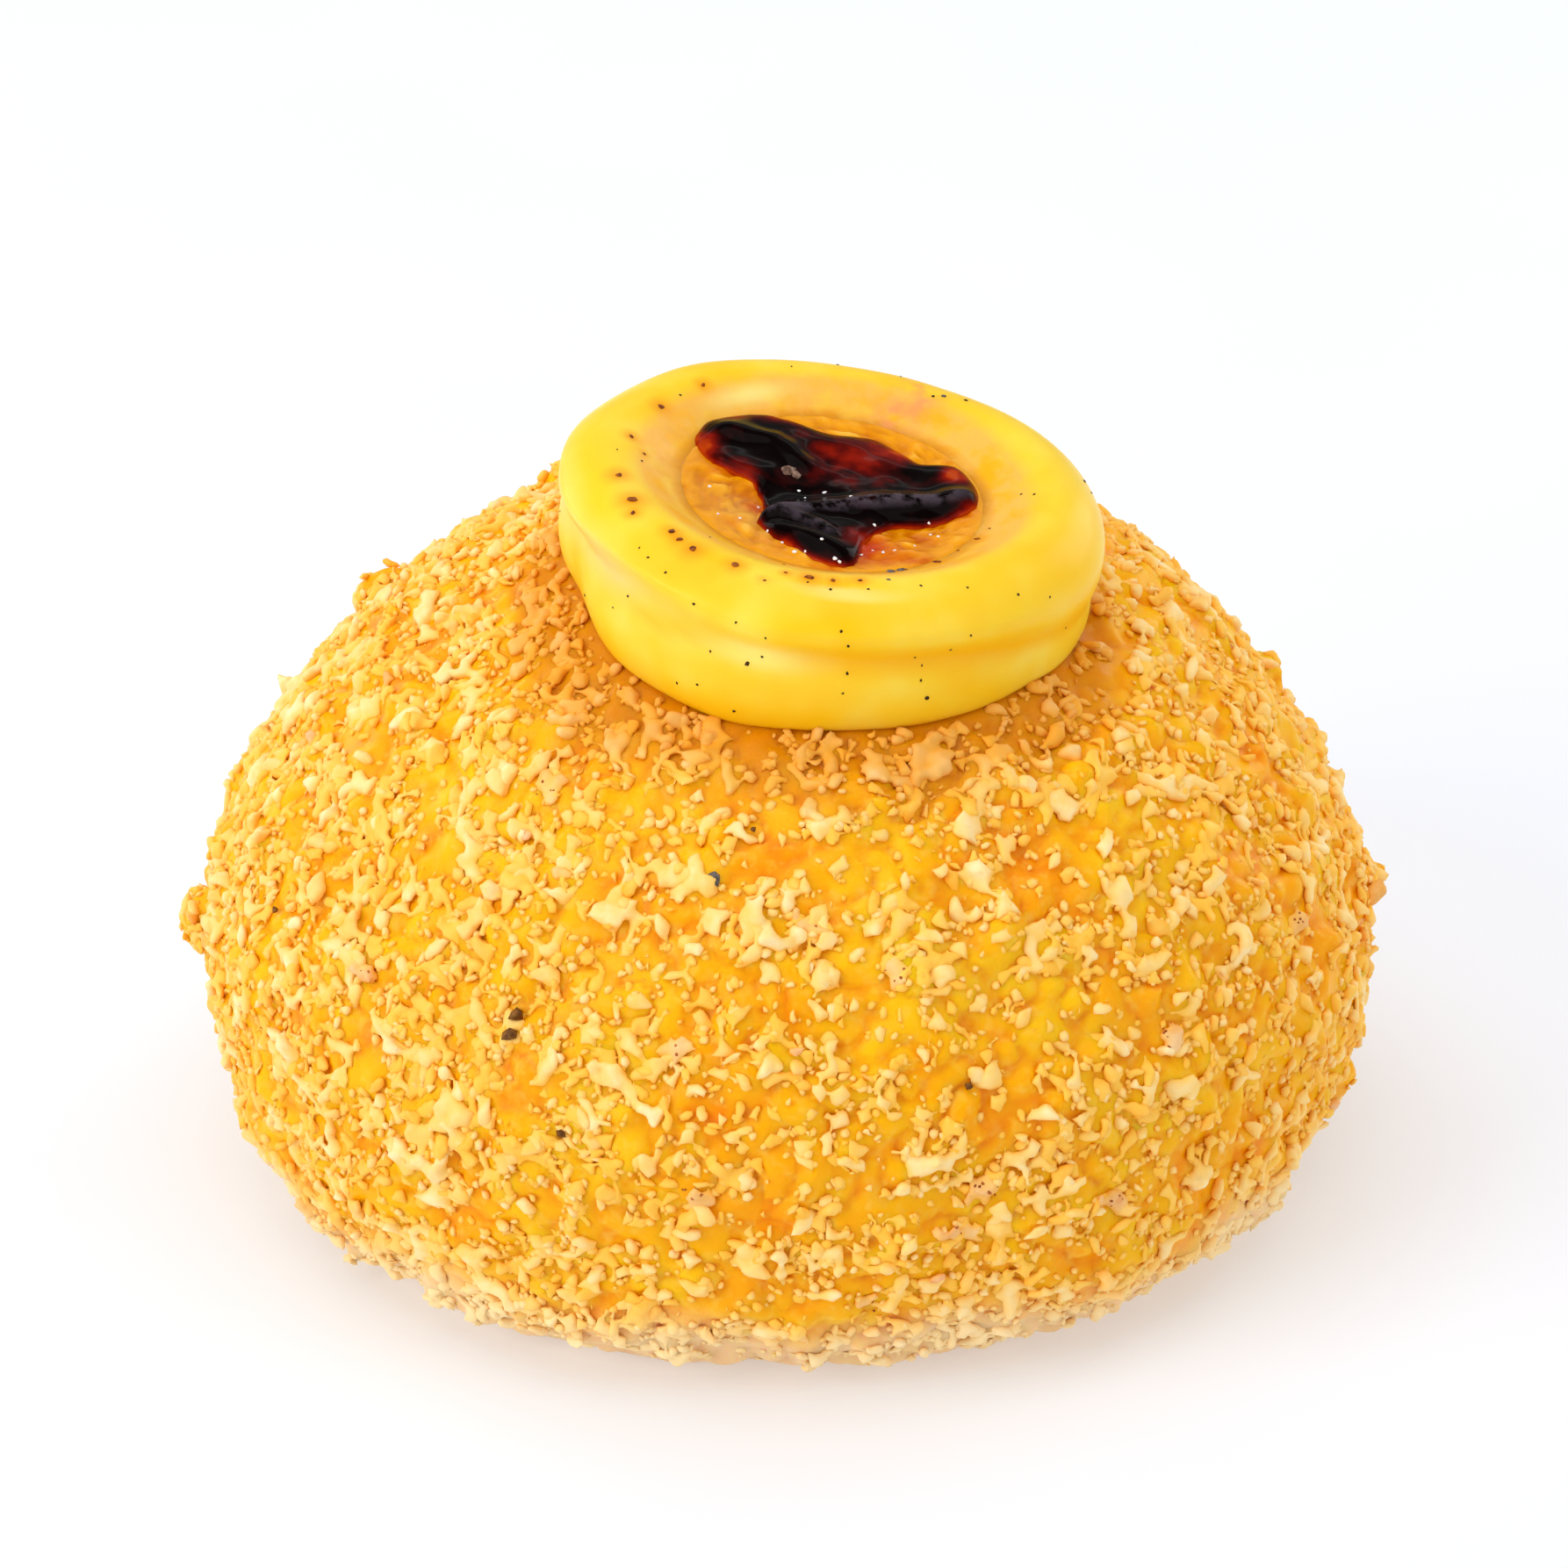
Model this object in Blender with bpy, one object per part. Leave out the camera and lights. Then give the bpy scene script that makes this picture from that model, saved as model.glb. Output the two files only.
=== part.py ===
# Lava bun: a baked bun rolled in coarse crumbs and crowned with a piped custard ring.
# The ring holds a pool of caramel custard, and dark syrup is spilled over the pool.
# Metres, +Z up. The origin is the middle of the flat foot, and the front faces -Y.

import math
import random

import bmesh
import bpy
from mathutils import Euler, Matrix, Vector, noise

MM = 0.001
GAP = 0.3 * MM                  # clear space between one piece and the next

# Dough under its crumbs: a flat foot, a full waist and a domed top
DOUGH_RADIUS = 41.6 * MM
DOUGH_HEIGHT = 50.2 * MM
WAIST_HEIGHT = 19.8 * MM
FLANK_DEPTH = 22.3 * MM         # the lower half would close this far below the waist
SHOULDER_POWER = 2.35           # outward fullness above the waist
CROWN_POWER = 1.5               # upward fullness above the waist
FLANK_POWER = 5.5               # outward fullness below the waist
FOOT_POWER = 3.0                # downward fullness below the waist
CROWN_LEAN = 0.6 * MM           # the top stands this far to -X of the foot
DOUGH_SUBDIVISIONS = 5
DOUGH_SMOOTHING = 2             # rounds of smoothing, which ease the waist
SWELL_HEIGHT = 0.8 * MM         # slow unevenness from proving and baking
SWELL_LENGTH = 24.0 * MM

# Crumb coat: uneven ground, a pointed bump of crumb size on many faces,
# and the coarsest crumbs as pieces that are fused on
RELIEF_HEIGHT = 0.9 * MM
RELIEF_LENGTH = 5.0 * MM
ROUGHNESS_HEIGHT = 0.16 * MM
BUMP_COUNT = 1380
BUMP_HEIGHT_MIN = 0.45 * MM
BUMP_HEIGHT_MAX = 1.05 * MM
BUMP_DRIFT = 0.35 * MM
BUMP_LOWEST = 1.6 * MM
BUMP_SEED = 5
CRUMB_COUNT = 70                # places spread over the whole round, before any is left out
CRUMB_RADIUS_MIN = 1.3 * MM
CRUMB_RADIUS_MAX = 1.9 * MM
CRUMB_JITTER = 2.5 * MM
CRUMB_SPACING = 1.25            # least distance, as a share of the two radii
CRUMB_LENGTHS = (0.8, 1.15)     # how much longer or shorter a crumb is along an axis
CRUMB_SINK = 0.35               # share of its radius that a crumb sits into the dough
CRUMB_ROUGHNESS = 0.22          # how far a corner moves, as a share of the radius
CRUMB_LOWEST = 3.2 * MM
CRUMB_SEED = 11
CRUMB_FADE = 1.2 * MM           # the coat thins out over this width next to the ring
SURFACE_SLICES = 400            # level slices of the dough that share out its surface

# Clusters that stand out of the outline: side in degrees from +X, height, radius
CLUSTERS = (
    (181.0, 18.0 * MM, 2.6 * MM),
    (1.0, 20.5 * MM, 2.0 * MM),
    (139.0, 45.5 * MM, 2.0 * MM),
    (207.0, 2.9 * MM, 1.9 * MM),
    (158.0, 38.0 * MM, 2.1 * MM),
)

# Custard ring: two piped coils, one on the other, leaning to the front and to +X
RING_CENTER = (2.6 * MM, -7.0 * MM, 51.6 * MM)
RING_LEAN_FRONT = math.radians(6.5)
RING_LEAN_SIDE = math.radians(6.8)
COIL_CENTER_RADIUS = 15.0 * MM
COIL_HALF_WIDTH = 3.8 * MM
COIL_HALF_HEIGHT = 4.4 * MM
COIL_SPACING = 3.7 * MM
COIL_ARC_STEPS = 7
SHELF_DROP = 1.7 * MM           # from the crest down to the rim of the pool
SHELF_STEPS = 5
RING_STEPS = 48
RING_WAVE_TWO = 0.35 * MM       # the ring is a little oval
RING_WAVE_THREE = 0.35 * MM     # and a little three-sided
RING_WAVE_ANGLE = math.radians(12.0)
LOWER_SHIFT = 0.8 * MM          # the lower coil was piped off centre
LOWER_SHIFT_ANGLE = math.radians(200.0)
LIP_ANGLE = math.radians(192.0)
LIP_SPREAD = math.radians(28.0)
LIP_OUT = 0.3 * MM              # the upper coil hangs over here
LIP_IN = 1.4 * MM               # and the lower coil draws in

# Caramel custard pool inside the ring
POOL_WALL_RADIUS = 10.2 * MM
POOL_BELOW_RIM = 0.15 * MM
POOL_DISH = 0.35 * MM
POOL_LUMP_HEIGHT = 0.45 * MM
POOL_LUMP_LENGTH = 4.5 * MM
POOL_STEPS = 32
POOL_RINGS = 5

# Dark syrup: a round middle and four lobes, each with its side in degrees,
# its reach as a share of the pool's radius, and its half width in degrees
SYRUP_MIDDLE = 0.50
SYRUP_LOBES = (
    (136.0, 1.10, 44.0),
    (66.0, 0.80, 40.0),
    (12.0, 1.00, 34.0),
    (-103.0, 0.96, 35.0),
)
SYRUP_MOST = 0.96
SYRUP_BLEND_POWER = 5.0
SYRUP_THICKNESS = 1.35 * MM
SYRUP_EDGE = 0.35 * MM
SYRUP_STEPS = 40
SYRUP_RINGS = 5

SMOOTH_ANGLE = math.radians(50)
MERGE_DISTANCE = 0.001 * MM

# Colours as linear red, green, blue, with their roughness
FINISHES = {
    "crumb_coat": ((0.86, 0.50, 0.13), 0.75),
    "custard": ((0.92, 0.60, 0.05), 0.35),
    "caramel": ((0.70, 0.26, 0.03), 0.15),
    "dark_syrup": ((0.03, 0.004, 0.004), 0.06),
}


def clear_scene():
    for thing in list(bpy.data.objects):
        bpy.data.objects.remove(thing, do_unlink=True)


def make_material(name):
    color, roughness = FINISHES[name]
    material = bpy.data.materials.new(name)
    material.use_nodes = True
    shader = material.node_tree.nodes["Principled BSDF"]
    shader.inputs["Base Color"].default_value = (*color, 1.0)
    shader.inputs["Roughness"].default_value = roughness
    shader.inputs["Metallic"].default_value = 0.0
    return material


def make_object(name, bm, finish=None, smooth=False):
    """An object from a closed bmesh, in its finish where it has one."""
    bmesh.ops.recalc_face_normals(bm, faces=bm.faces)
    mesh = bpy.data.meshes.new(name)
    bm.to_mesh(mesh)
    bm.free()
    if smooth:
        mesh.shade_smooth()
        mesh.set_sharp_from_angle(angle=SMOOTH_ANGLE)
    thing = bpy.data.objects.new(name, mesh)
    bpy.context.scene.collection.objects.link(thing)
    if finish is not None:
        mesh.materials.append(make_material(finish))
    return thing


def ease(value, low, high):
    """0 below low, 1 above high, and a smooth step between them."""
    t = min(max((value - low) / (high - low), 0.0), 1.0)
    return t * t * (3 - 2 * t)


def ring_frame():
    """Placement of the ring: Z is its axis, and z = 0 is the upper coil's middle."""
    lean = Euler((RING_LEAN_FRONT, RING_LEAN_SIDE, 0.0)).to_matrix().to_4x4()
    return Matrix.Translation(RING_CENTER) @ lean


def ring_axis_distance(point):
    local = ring_frame().inverted() @ point
    return math.hypot(local.x, local.y)


def ring_outer_radius():
    return COIL_CENTER_RADIUS + COIL_HALF_WIDTH + RING_WAVE_TWO + RING_WAVE_THREE + LIP_OUT


# Dough

def dough_point(direction):
    """The place on the dough's surface in a unit direction from its waist."""
    flat = math.hypot(direction.x, direction.y)
    if direction.z >= 0:
        radius = DOUGH_RADIUS * flat ** (2 / SHOULDER_POWER)
        height = WAIST_HEIGHT + (DOUGH_HEIGHT - WAIST_HEIGHT) * direction.z ** (2 / CROWN_POWER)
    else:
        radius = DOUGH_RADIUS * flat ** (2 / FLANK_POWER)
        height = WAIST_HEIGHT - FLANK_DEPTH * (-direction.z) ** (2 / FOOT_POWER)
    around = math.atan2(direction.y, direction.x)
    point = Vector((radius * math.cos(around), radius * math.sin(around), height))
    point.x -= CROWN_LEAN * (height / DOUGH_HEIGHT) ** 2
    swell = SWELL_HEIGHT * noise.noise(point / SWELL_LENGTH)
    return point + direction * swell


def dough_shape(grow=0.0):
    """The dough as a closed round, grown outwards by an even amount."""
    bm = bmesh.new()
    bmesh.ops.create_icosphere(bm, subdivisions=DOUGH_SUBDIVISIONS, radius=1.0)
    for vertex in bm.verts:
        vertex.co = dough_point(vertex.co.normalized())
    for _ in range(DOUGH_SMOOTHING):
        bmesh.ops.smooth_vert(
            bm, verts=bm.verts, factor=0.5, use_axis_x=True, use_axis_y=True, use_axis_z=True
        )
    bm.normal_update()
    for vertex in bm.verts:
        vertex.co += vertex.normal * grow
    return bm


def open_share(point):
    """0 where the ring covers the dough, and 1 clear of it."""
    if point.z < WAIST_HEIGHT:
        return 1.0
    covered = ring_outer_radius()
    return ease(ring_axis_distance(point), covered, covered + CRUMB_FADE)


def add_relief(bm, draw):
    """Uneven ground of crumb size, which fades out under the ring."""
    bm.normal_update()
    for vertex in bm.verts:
        bump = RELIEF_HEIGHT * noise.noise(vertex.co / RELIEF_LENGTH)
        bump += draw.uniform(-ROUGHNESS_HEIGHT, ROUGHNESS_HEIGHT)
        vertex.co += vertex.normal * bump * open_share(vertex.co)


def add_bumps(bm, draw):
    """Pointed bumps of crumb size on faces picked at random."""
    bm.normal_update()
    free = [
        face for face in bm.faces
        if min(vertex.co.z for vertex in face.verts) > BUMP_LOWEST
        and open_share(face.calc_center_median()) == 1.0
    ]
    chosen = draw.sample(free, BUMP_COUNT)
    tips = bmesh.ops.poke(bm, faces=chosen, offset=0.0, center_mode="MEAN")["verts"]
    bm.normal_update()
    for tip in tips:
        drift = Vector([draw.uniform(-BUMP_DRIFT, BUMP_DRIFT) for _ in range(3)])
        tip.co += tip.normal * draw.uniform(BUMP_HEIGHT_MIN, BUMP_HEIGHT_MAX) + drift


def cut_at_floor(bm):
    geometry = bm.verts[:] + bm.edges[:] + bm.faces[:]
    bmesh.ops.bisect_plane(
        bm, geom=geometry, plane_co=(0, 0, 0), plane_no=(0, 0, -1), clear_outer=True
    )
    rim = [edge for edge in bm.edges if edge.is_boundary]
    foot = bmesh.ops.holes_fill(bm, edges=rim, sides=0)["faces"]
    bmesh.ops.triangulate(bm, faces=foot)


def crumb_shape(center, radius, draw):
    """One angular crumb around a point."""
    bm = bmesh.new()
    bmesh.ops.create_icosphere(bm, subdivisions=1, radius=radius)
    stretch = Vector([draw.uniform(*CRUMB_LENGTHS) for _ in range(3)])
    turn = Euler([draw.uniform(0, math.tau) for _ in range(3)]).to_matrix()
    for vertex in bm.verts:
        uneven = 1 + draw.uniform(-CRUMB_ROUGHNESS, CRUMB_ROUGHNESS)
        vertex.co = center + turn @ (vertex.co * uneven * stretch)
    return bm


def crumb_places(draw):
    """Centre and radius of every crumb that is a piece of its own."""
    places = []
    for side, height, radius in CLUSTERS:
        turn = math.radians(side)
        reach = dough_radius_at(height)
        center = Vector((reach * math.cos(turn), reach * math.sin(turn), height))
        places.append((center, radius))
    for place in even_surface_places(CRUMB_COUNT):
        radius = draw.uniform(CRUMB_RADIUS_MIN, CRUMB_RADIUS_MAX)
        wander = Vector([draw.uniform(-CRUMB_JITTER, CRUMB_JITTER) for _ in range(3)])
        outward = dough_outward(place)
        wander -= outward * wander.dot(outward)
        center = place + wander
        under_ring = ring_axis_distance(center) < ring_outer_radius() + radius + 2 * GAP
        if under_ring and center.z > WAIST_HEIGHT:
            continue
        if center.z < CRUMB_LOWEST:
            continue
        spaces = [(center - other).length / (radius + size) for other, size in places]
        if min(spaces) > CRUMB_SPACING:
            places.append((center - outward * radius * CRUMB_SINK, radius))
    return places


def dough_radius_at(height):
    """Plain radius of the dough at a height, without its slow swells."""
    if height >= WAIST_HEIGHT:
        rise = (height - WAIST_HEIGHT) / (DOUGH_HEIGHT - WAIST_HEIGHT)
        return DOUGH_RADIUS * max(1 - rise ** CROWN_POWER, 0.0) ** (1 / SHOULDER_POWER)
    fall = (WAIST_HEIGHT - height) / FLANK_DEPTH
    return DOUGH_RADIUS * (1 - fall ** FOOT_POWER) ** (1 / FLANK_POWER)


def dough_outward(point):
    """Outward direction of the plain dough at a point of its surface."""
    step = 0.5 * MM
    low = max(point.z - step, 0.0)
    high = min(point.z + step, DOUGH_HEIGHT)
    slope = (dough_radius_at(high) - dough_radius_at(low)) / (high - low)
    around = math.atan2(point.y, point.x)
    return Vector((math.cos(around), math.sin(around), -slope)).normalized()


def even_surface_places(count):
    """Places on the dough, spread so that each has the same share of its surface."""
    heights = [DOUGH_HEIGHT * index / SURFACE_SLICES for index in range(SURFACE_SLICES + 1)]
    radii = [dough_radius_at(height) for height in heights]
    area = [0.0]
    for index in range(SURFACE_SLICES):
        slant = math.hypot(heights[index + 1] - heights[index], radii[index + 1] - radii[index])
        area.append(area[-1] + math.pi * (radii[index] + radii[index + 1]) * slant)
    golden_angle = math.pi * (3 - math.sqrt(5))
    at = 0
    for index in range(count):
        wanted = area[-1] * (index + 0.5) / count
        while area[at + 1] < wanted:
            at += 1
        part = (wanted - area[at]) / (area[at + 1] - area[at])
        height = heights[at] + part * (heights[at + 1] - heights[at])
        radius = dough_radius_at(height)
        around = golden_angle * index
        yield Vector((radius * math.cos(around), radius * math.sin(around), height))


def make_bun():
    """The dough with its coat of bumps, and the coarsest crumbs fused to it."""
    bm = dough_shape()
    draw = random.Random(BUMP_SEED)
    add_relief(bm, draw)
    cut_at_floor(bm)
    add_bumps(bm, draw)
    bun = make_object("bun", bm, "crumb_coat")
    draw = random.Random(CRUMB_SEED)
    crumbs = bpy.data.collections.new("crumbs")
    for number, (center, radius) in enumerate(crumb_places(draw)):
        crumb = make_object(f"crumb_{number:03d}", crumb_shape(center, radius, draw))
        bpy.context.scene.collection.objects.unlink(crumb)
        crumbs.objects.link(crumb)
    fuse_collection(bun, crumbs)


def fuse_collection(thing, collection):
    """Join every object of a collection to one object, and remove the collection."""
    fuse = thing.modifiers.new("fuse", "BOOLEAN")
    fuse.operation = "UNION"
    fuse.solver = "EXACT"
    fuse.operand_type = "COLLECTION"
    fuse.collection = collection
    bpy.context.view_layer.update()
    graph = bpy.context.evaluated_depsgraph_get()
    fused = bpy.data.meshes.new_from_object(thing.evaluated_get(graph))
    thing.modifiers.clear()
    thing.data = fused
    for piece in list(collection.objects):
        bpy.data.objects.remove(piece, do_unlink=True)
    bpy.data.collections.remove(collection)


# Ring, pool and syrup

def coil_arc(middle, start, end):
    """Outer outline of one coil, as points of radius and height."""
    for index in range(COIL_ARC_STEPS + 1):
        turn = start + (end - start) * index / COIL_ARC_STEPS
        radius = COIL_CENTER_RADIUS + COIL_HALF_WIDTH * math.cos(turn)
        yield radius, middle + COIL_HALF_HEIGHT * math.sin(turn)


def ring_section():
    """Cross-section of the ring: two coils outside, a sloping shelf and a wall inside."""
    meet = math.asin(COIL_SPACING / 2 / COIL_HALF_HEIGHT)
    points = list(coil_arc(-COIL_SPACING, -math.pi / 2, meet))
    points += list(coil_arc(0.0, -meet, math.pi / 2))[1:]
    for index in range(1, SHELF_STEPS + 1):
        share = index / SHELF_STEPS
        radius = COIL_CENTER_RADIUS + (POOL_WALL_RADIUS - COIL_CENTER_RADIUS) * share
        fall = SHELF_DROP * (1 - math.cos(math.pi * share)) / 2
        points.append((radius, COIL_HALF_HEIGHT - fall))
    points.append((POOL_WALL_RADIUS, -COIL_SPACING - COIL_HALF_HEIGHT))
    return points


def turned_shape(section, steps, closed):
    """A section of radius and height points spun once round Z."""
    bm = bmesh.new()
    verts = [bm.verts.new((radius, 0.0, height)) for radius, height in section]
    edges = [bm.edges.new(pair) for pair in zip(verts, verts[1:])]
    if closed:
        edges.append(bm.edges.new((verts[-1], verts[0])))
    bmesh.ops.spin(
        bm, geom=verts + edges, cent=(0, 0, 0), axis=(0, 0, 1), angle=math.tau,
        steps=steps, use_merge=True,
    )
    bmesh.ops.remove_doubles(bm, verts=bm.verts, dist=MERGE_DISTANCE)
    return bm


def lip_share(turn):
    """1 in the middle of the overhanging lip, fading to 0 on both sides of it."""
    away = math.remainder(turn - LIP_ANGLE, math.tau)
    return math.exp(-((away / LIP_SPREAD) ** 2))


def make_ring(clearance):
    """The spun section, made uneven from its outer side, and set down on the dough."""
    bm = turned_shape(ring_section(), RING_STEPS, closed=True)
    for vertex in bm.verts:
        radius = math.hypot(vertex.co.x, vertex.co.y)
        turn = math.atan2(vertex.co.y, vertex.co.x)
        outside = ease(radius, POOL_WALL_RADIUS, COIL_CENTER_RADIUS)
        change = RING_WAVE_TWO * math.cos(2 * turn)
        change += RING_WAVE_THREE * math.cos(3 * (turn - RING_WAVE_ANGLE))
        if vertex.co.z > -COIL_SPACING / 2:
            change += LIP_OUT * lip_share(turn)
        else:
            change += LOWER_SHIFT * math.cos(turn - LOWER_SHIFT_ANGLE)
            change -= LIP_IN * lip_share(turn)
        scale = (radius + change * outside) / radius
        vertex.co.x *= scale
        vertex.co.y *= scale
    bm.transform(ring_frame())
    cut_clear(make_object("custard_ring", bm, "custard", smooth=True), clearance)


def pool_height(x, y):
    """Height of the pool's lumpy top over the upper coil's middle."""
    rim = COIL_HALF_HEIGHT - SHELF_DROP - POOL_BELOW_RIM
    edge = min(math.hypot(x, y) / POOL_WALL_RADIUS, 1.0)
    lump = POOL_LUMP_HEIGHT * noise.noise(Vector((x, y, 0.0)) / POOL_LUMP_LENGTH)
    return rim - POOL_DISH * (1 - edge * edge) + lump * (1 - edge ** 4)


def make_pool(clearance):
    """A plug that fills the ring from the dough up to the pool's lumpy top."""
    outer = POOL_WALL_RADIUS - GAP
    section = [(outer * index / POOL_RINGS, COIL_HALF_HEIGHT) for index in range(POOL_RINGS + 1)]
    depth = -COIL_SPACING - COIL_HALF_HEIGHT
    section += [(outer, depth), (0.0, depth)]
    bm = turned_shape(section, POOL_STEPS, closed=False)
    for vertex in bm.verts:
        if vertex.co.z > 0:
            vertex.co.z = pool_height(vertex.co.x, vertex.co.y)
    bm.transform(ring_frame())
    cut_clear(make_object("caramel_filling", bm, "caramel", smooth=True), clearance)


def cut_clear(thing, clearance):
    """Cut a piece where the dough, grown by the gap, is in its way."""
    cut = thing.modifiers.new("rest_on_dough", "BOOLEAN")
    cut.operation = "DIFFERENCE"
    cut.solver = "EXACT"
    cut.object = clearance


def syrup_reach(turn):
    """How far the syrup runs to one side: the largest of its lobes, blended."""
    total = SYRUP_MIDDLE ** SYRUP_BLEND_POWER
    for side, reach, width in SYRUP_LOBES:
        away = math.remainder(math.degrees(turn) - side, 360.0)
        total += (reach * math.exp(-((away / width) ** 4))) ** SYRUP_BLEND_POWER
    share = min(total ** (1 / SYRUP_BLEND_POWER), SYRUP_MOST)
    return share * (POOL_WALL_RADIUS - GAP)


def make_syrup():
    """A thick blot that lies over the pool, with a round edge and a domed top."""
    # Spun as a flat disc with height 1 above and 0 below, and then shaped
    top = [(index / SYRUP_RINGS, 1.0) for index in range(SYRUP_RINGS + 1)]
    under = [(index / SYRUP_RINGS, 0.0) for index in range(SYRUP_RINGS, -1, -1)]
    bm = turned_shape(top + under, SYRUP_STEPS, closed=False)
    for vertex in bm.verts:
        share = math.hypot(vertex.co.x, vertex.co.y)
        turn = math.atan2(vertex.co.y, vertex.co.x)
        reach = syrup_reach(turn)
        above = vertex.co.z > 0.5
        vertex.co.x *= reach
        vertex.co.y *= reach
        vertex.co.z = pool_height(vertex.co.x, vertex.co.y) + GAP
        if above:
            rise = math.sqrt(max(1 - share ** 3, 0.0))
            vertex.co.z += SYRUP_EDGE + (SYRUP_THICKNESS - SYRUP_EDGE) * rise
    bm.transform(ring_frame())
    make_object("syrup", bm, "dark_syrup", smooth=True)


def make_clearance():
    """The dough grown by the gap, which shapes the undersides that rest on it."""
    clearance = make_object("dough_clearance", dough_shape(GAP))
    clearance.hide_render = True
    clearance.display_type = "WIRE"
    return clearance


def main():
    clear_scene()
    make_bun()
    clearance = make_clearance()
    make_ring(clearance)
    make_pool(clearance)
    make_syrup()


main()
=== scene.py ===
# %% [markdown]
# # Lava bun
#
# A golden bun in a shaggy coat of breadcrumbs, crowned with a piped double coil of custard.
# The coil holds a pool of amber custard, and dark syrup has been spilled over the pool.
# The plain CAD solids come first. They are the frame that every finished piece has to fit.

# %% Load the frame
import math
import random

import bmesh
import bpy
import numpy as np
from mathutils import Euler, Matrix, Vector, noise
from mathutils.bvhtree import BVHTree


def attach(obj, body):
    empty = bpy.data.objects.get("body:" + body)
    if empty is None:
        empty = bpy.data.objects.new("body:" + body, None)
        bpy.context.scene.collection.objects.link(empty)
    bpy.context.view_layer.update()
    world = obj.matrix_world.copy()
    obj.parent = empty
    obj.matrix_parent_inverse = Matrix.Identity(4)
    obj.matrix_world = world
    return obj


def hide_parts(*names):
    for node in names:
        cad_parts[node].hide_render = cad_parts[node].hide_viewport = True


MM = 0.001
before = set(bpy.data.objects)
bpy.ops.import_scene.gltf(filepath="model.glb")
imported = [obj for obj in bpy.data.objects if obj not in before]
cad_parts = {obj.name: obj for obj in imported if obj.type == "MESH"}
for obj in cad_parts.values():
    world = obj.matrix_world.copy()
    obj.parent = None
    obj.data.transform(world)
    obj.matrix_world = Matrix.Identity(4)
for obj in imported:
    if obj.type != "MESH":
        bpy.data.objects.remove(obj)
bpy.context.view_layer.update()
print("solids:", sorted(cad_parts))

# %% [markdown]
# ## Camera
#
# The bun was photographed with a long lens, from a little above. A long lens flattens the
# perspective: the far side of the custard looks nearly as large as the near side. The camera
# stands half a metre away, and `to_track_quat` turns it so that its own -Z axis, the way that
# a Blender camera looks, points at the middle of the bun.

# %% Camera
CAMERA_DISTANCE = 0.5
CAMERA_RISE = math.radians(26)
LOOK_AT = Vector((-0.4, 0.0, 28.3)) * MM
LENS = 160
SENSOR = 36
PICTURE_SIDE = 1786

camera_data = bpy.data.cameras.new("camera")
camera_data.lens = LENS
camera_data.sensor_width = SENSOR
camera = bpy.data.objects.new("camera", camera_data)
away = Vector((0, -math.cos(CAMERA_RISE), math.sin(CAMERA_RISE)))
camera.location = LOOK_AT + away * CAMERA_DISTANCE
camera.rotation_euler = (-away).to_track_quat("-Z", "Y").to_euler()
bpy.context.scene.collection.objects.link(camera)
bpy.context.scene.camera = camera
bpy.context.view_layer.update()


def sight(px, py):
    """The direction from the camera through one pixel of the picture."""
    half = SENSOR / LENS / 2
    across = (2 * px / PICTURE_SIDE - 1) * half
    up = (1 - 2 * py / PICTURE_SIDE) * half
    return (camera.matrix_world.to_3x3() @ Vector((across, up, -1))).normalized()


print("camera at", [round(c, 3) for c in camera.location], "m")

# %% [markdown]
# ## Light
#
# A food studio lights such a bun with large, soft panels all round, so that no hard shadow
# falls between the crumbs. Area lights do the same here. The panels leave dark gaps between
# them, and the gaps matter: the syrup is nearly black only because it mirrors them. A narrow
# strip behind the bun mirrors in the syrup too. The grey bands of gloss on the syrup are
# painted reflection in its colour.
#
# The Standard view transform keeps the custard's strong yellow, which a film-like transform
# would wash out.

# %% Light
PANELS = {
    # name: (place in metres, width and height in metres, watts)
    "panel_top": ((-0.05, -0.10, 0.95), (1.0, 1.0), 4.9),
    "panel_left": ((-0.90, -0.60, 0.50), (0.8, 0.8), 7.4),
    "panel_right": ((0.95, -0.55, 0.45), (0.8, 0.8), 3.0),
    "panel_back_left": ((-0.80, 0.75, 0.40), (0.6, 0.6), 2.8),
    "panel_back_right": ((0.80, 0.75, 0.40), (0.6, 0.6), 2.5),
    "strip_back": ((0.00, 0.90, 0.66), (0.9, 0.07), 0.30),
}
SKY_STRENGTH = 0.36


def add_panel(name, place, sides, watts):
    """A rectangular area light that faces the bun."""
    data = bpy.data.lights.new(name, "AREA")
    data.shape = "RECTANGLE"
    data.size, data.size_y = sides
    data.energy = watts
    panel = bpy.data.objects.new(name, data)
    panel.location = place
    panel.rotation_euler = (LOOK_AT - Vector(place)).to_track_quat("-Z", "Y").to_euler()
    bpy.context.scene.collection.objects.link(panel)


for name, (place, sides, watts) in PANELS.items():
    add_panel(name, place, sides, watts)
sky = bpy.data.worlds.new("sky")
sky.use_nodes = True
sky.node_tree.nodes["Background"].inputs["Color"].default_value = (1, 1, 1, 1)
sky.node_tree.nodes["Background"].inputs["Strength"].default_value = SKY_STRENGTH
bpy.context.scene.world = sky
bpy.context.scene.view_settings.view_transform = "Standard"
print(len(PANELS), "panels,", sum(panel[2] for panel in PANELS.values()), "watts")

# %% [markdown]
# ## Finishes as nodes
#
# Every finish below starts from one Principled shader and gets its detail from noise on
# Object coordinates. These stay fixed to the piece, so the pattern can't slide over it.
# A few small helpers keep the node trees short. Colours are written as a screen shows them,
# because that is how they are read from a picture, and `paint` makes them linear.

# %% Finish helpers
def paint(code):
    """A screen colour such as "FFC95C" as the linear red, green, blue, alpha of a socket."""
    parts = [int(code[at:at + 2], 16) / 255 for at in (0, 2, 4)]
    linear = [part / 12.92 if part <= 0.04045 else ((part + 0.055) / 1.055) ** 2.4 for part in parts]
    return (*linear, 1.0)


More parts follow.
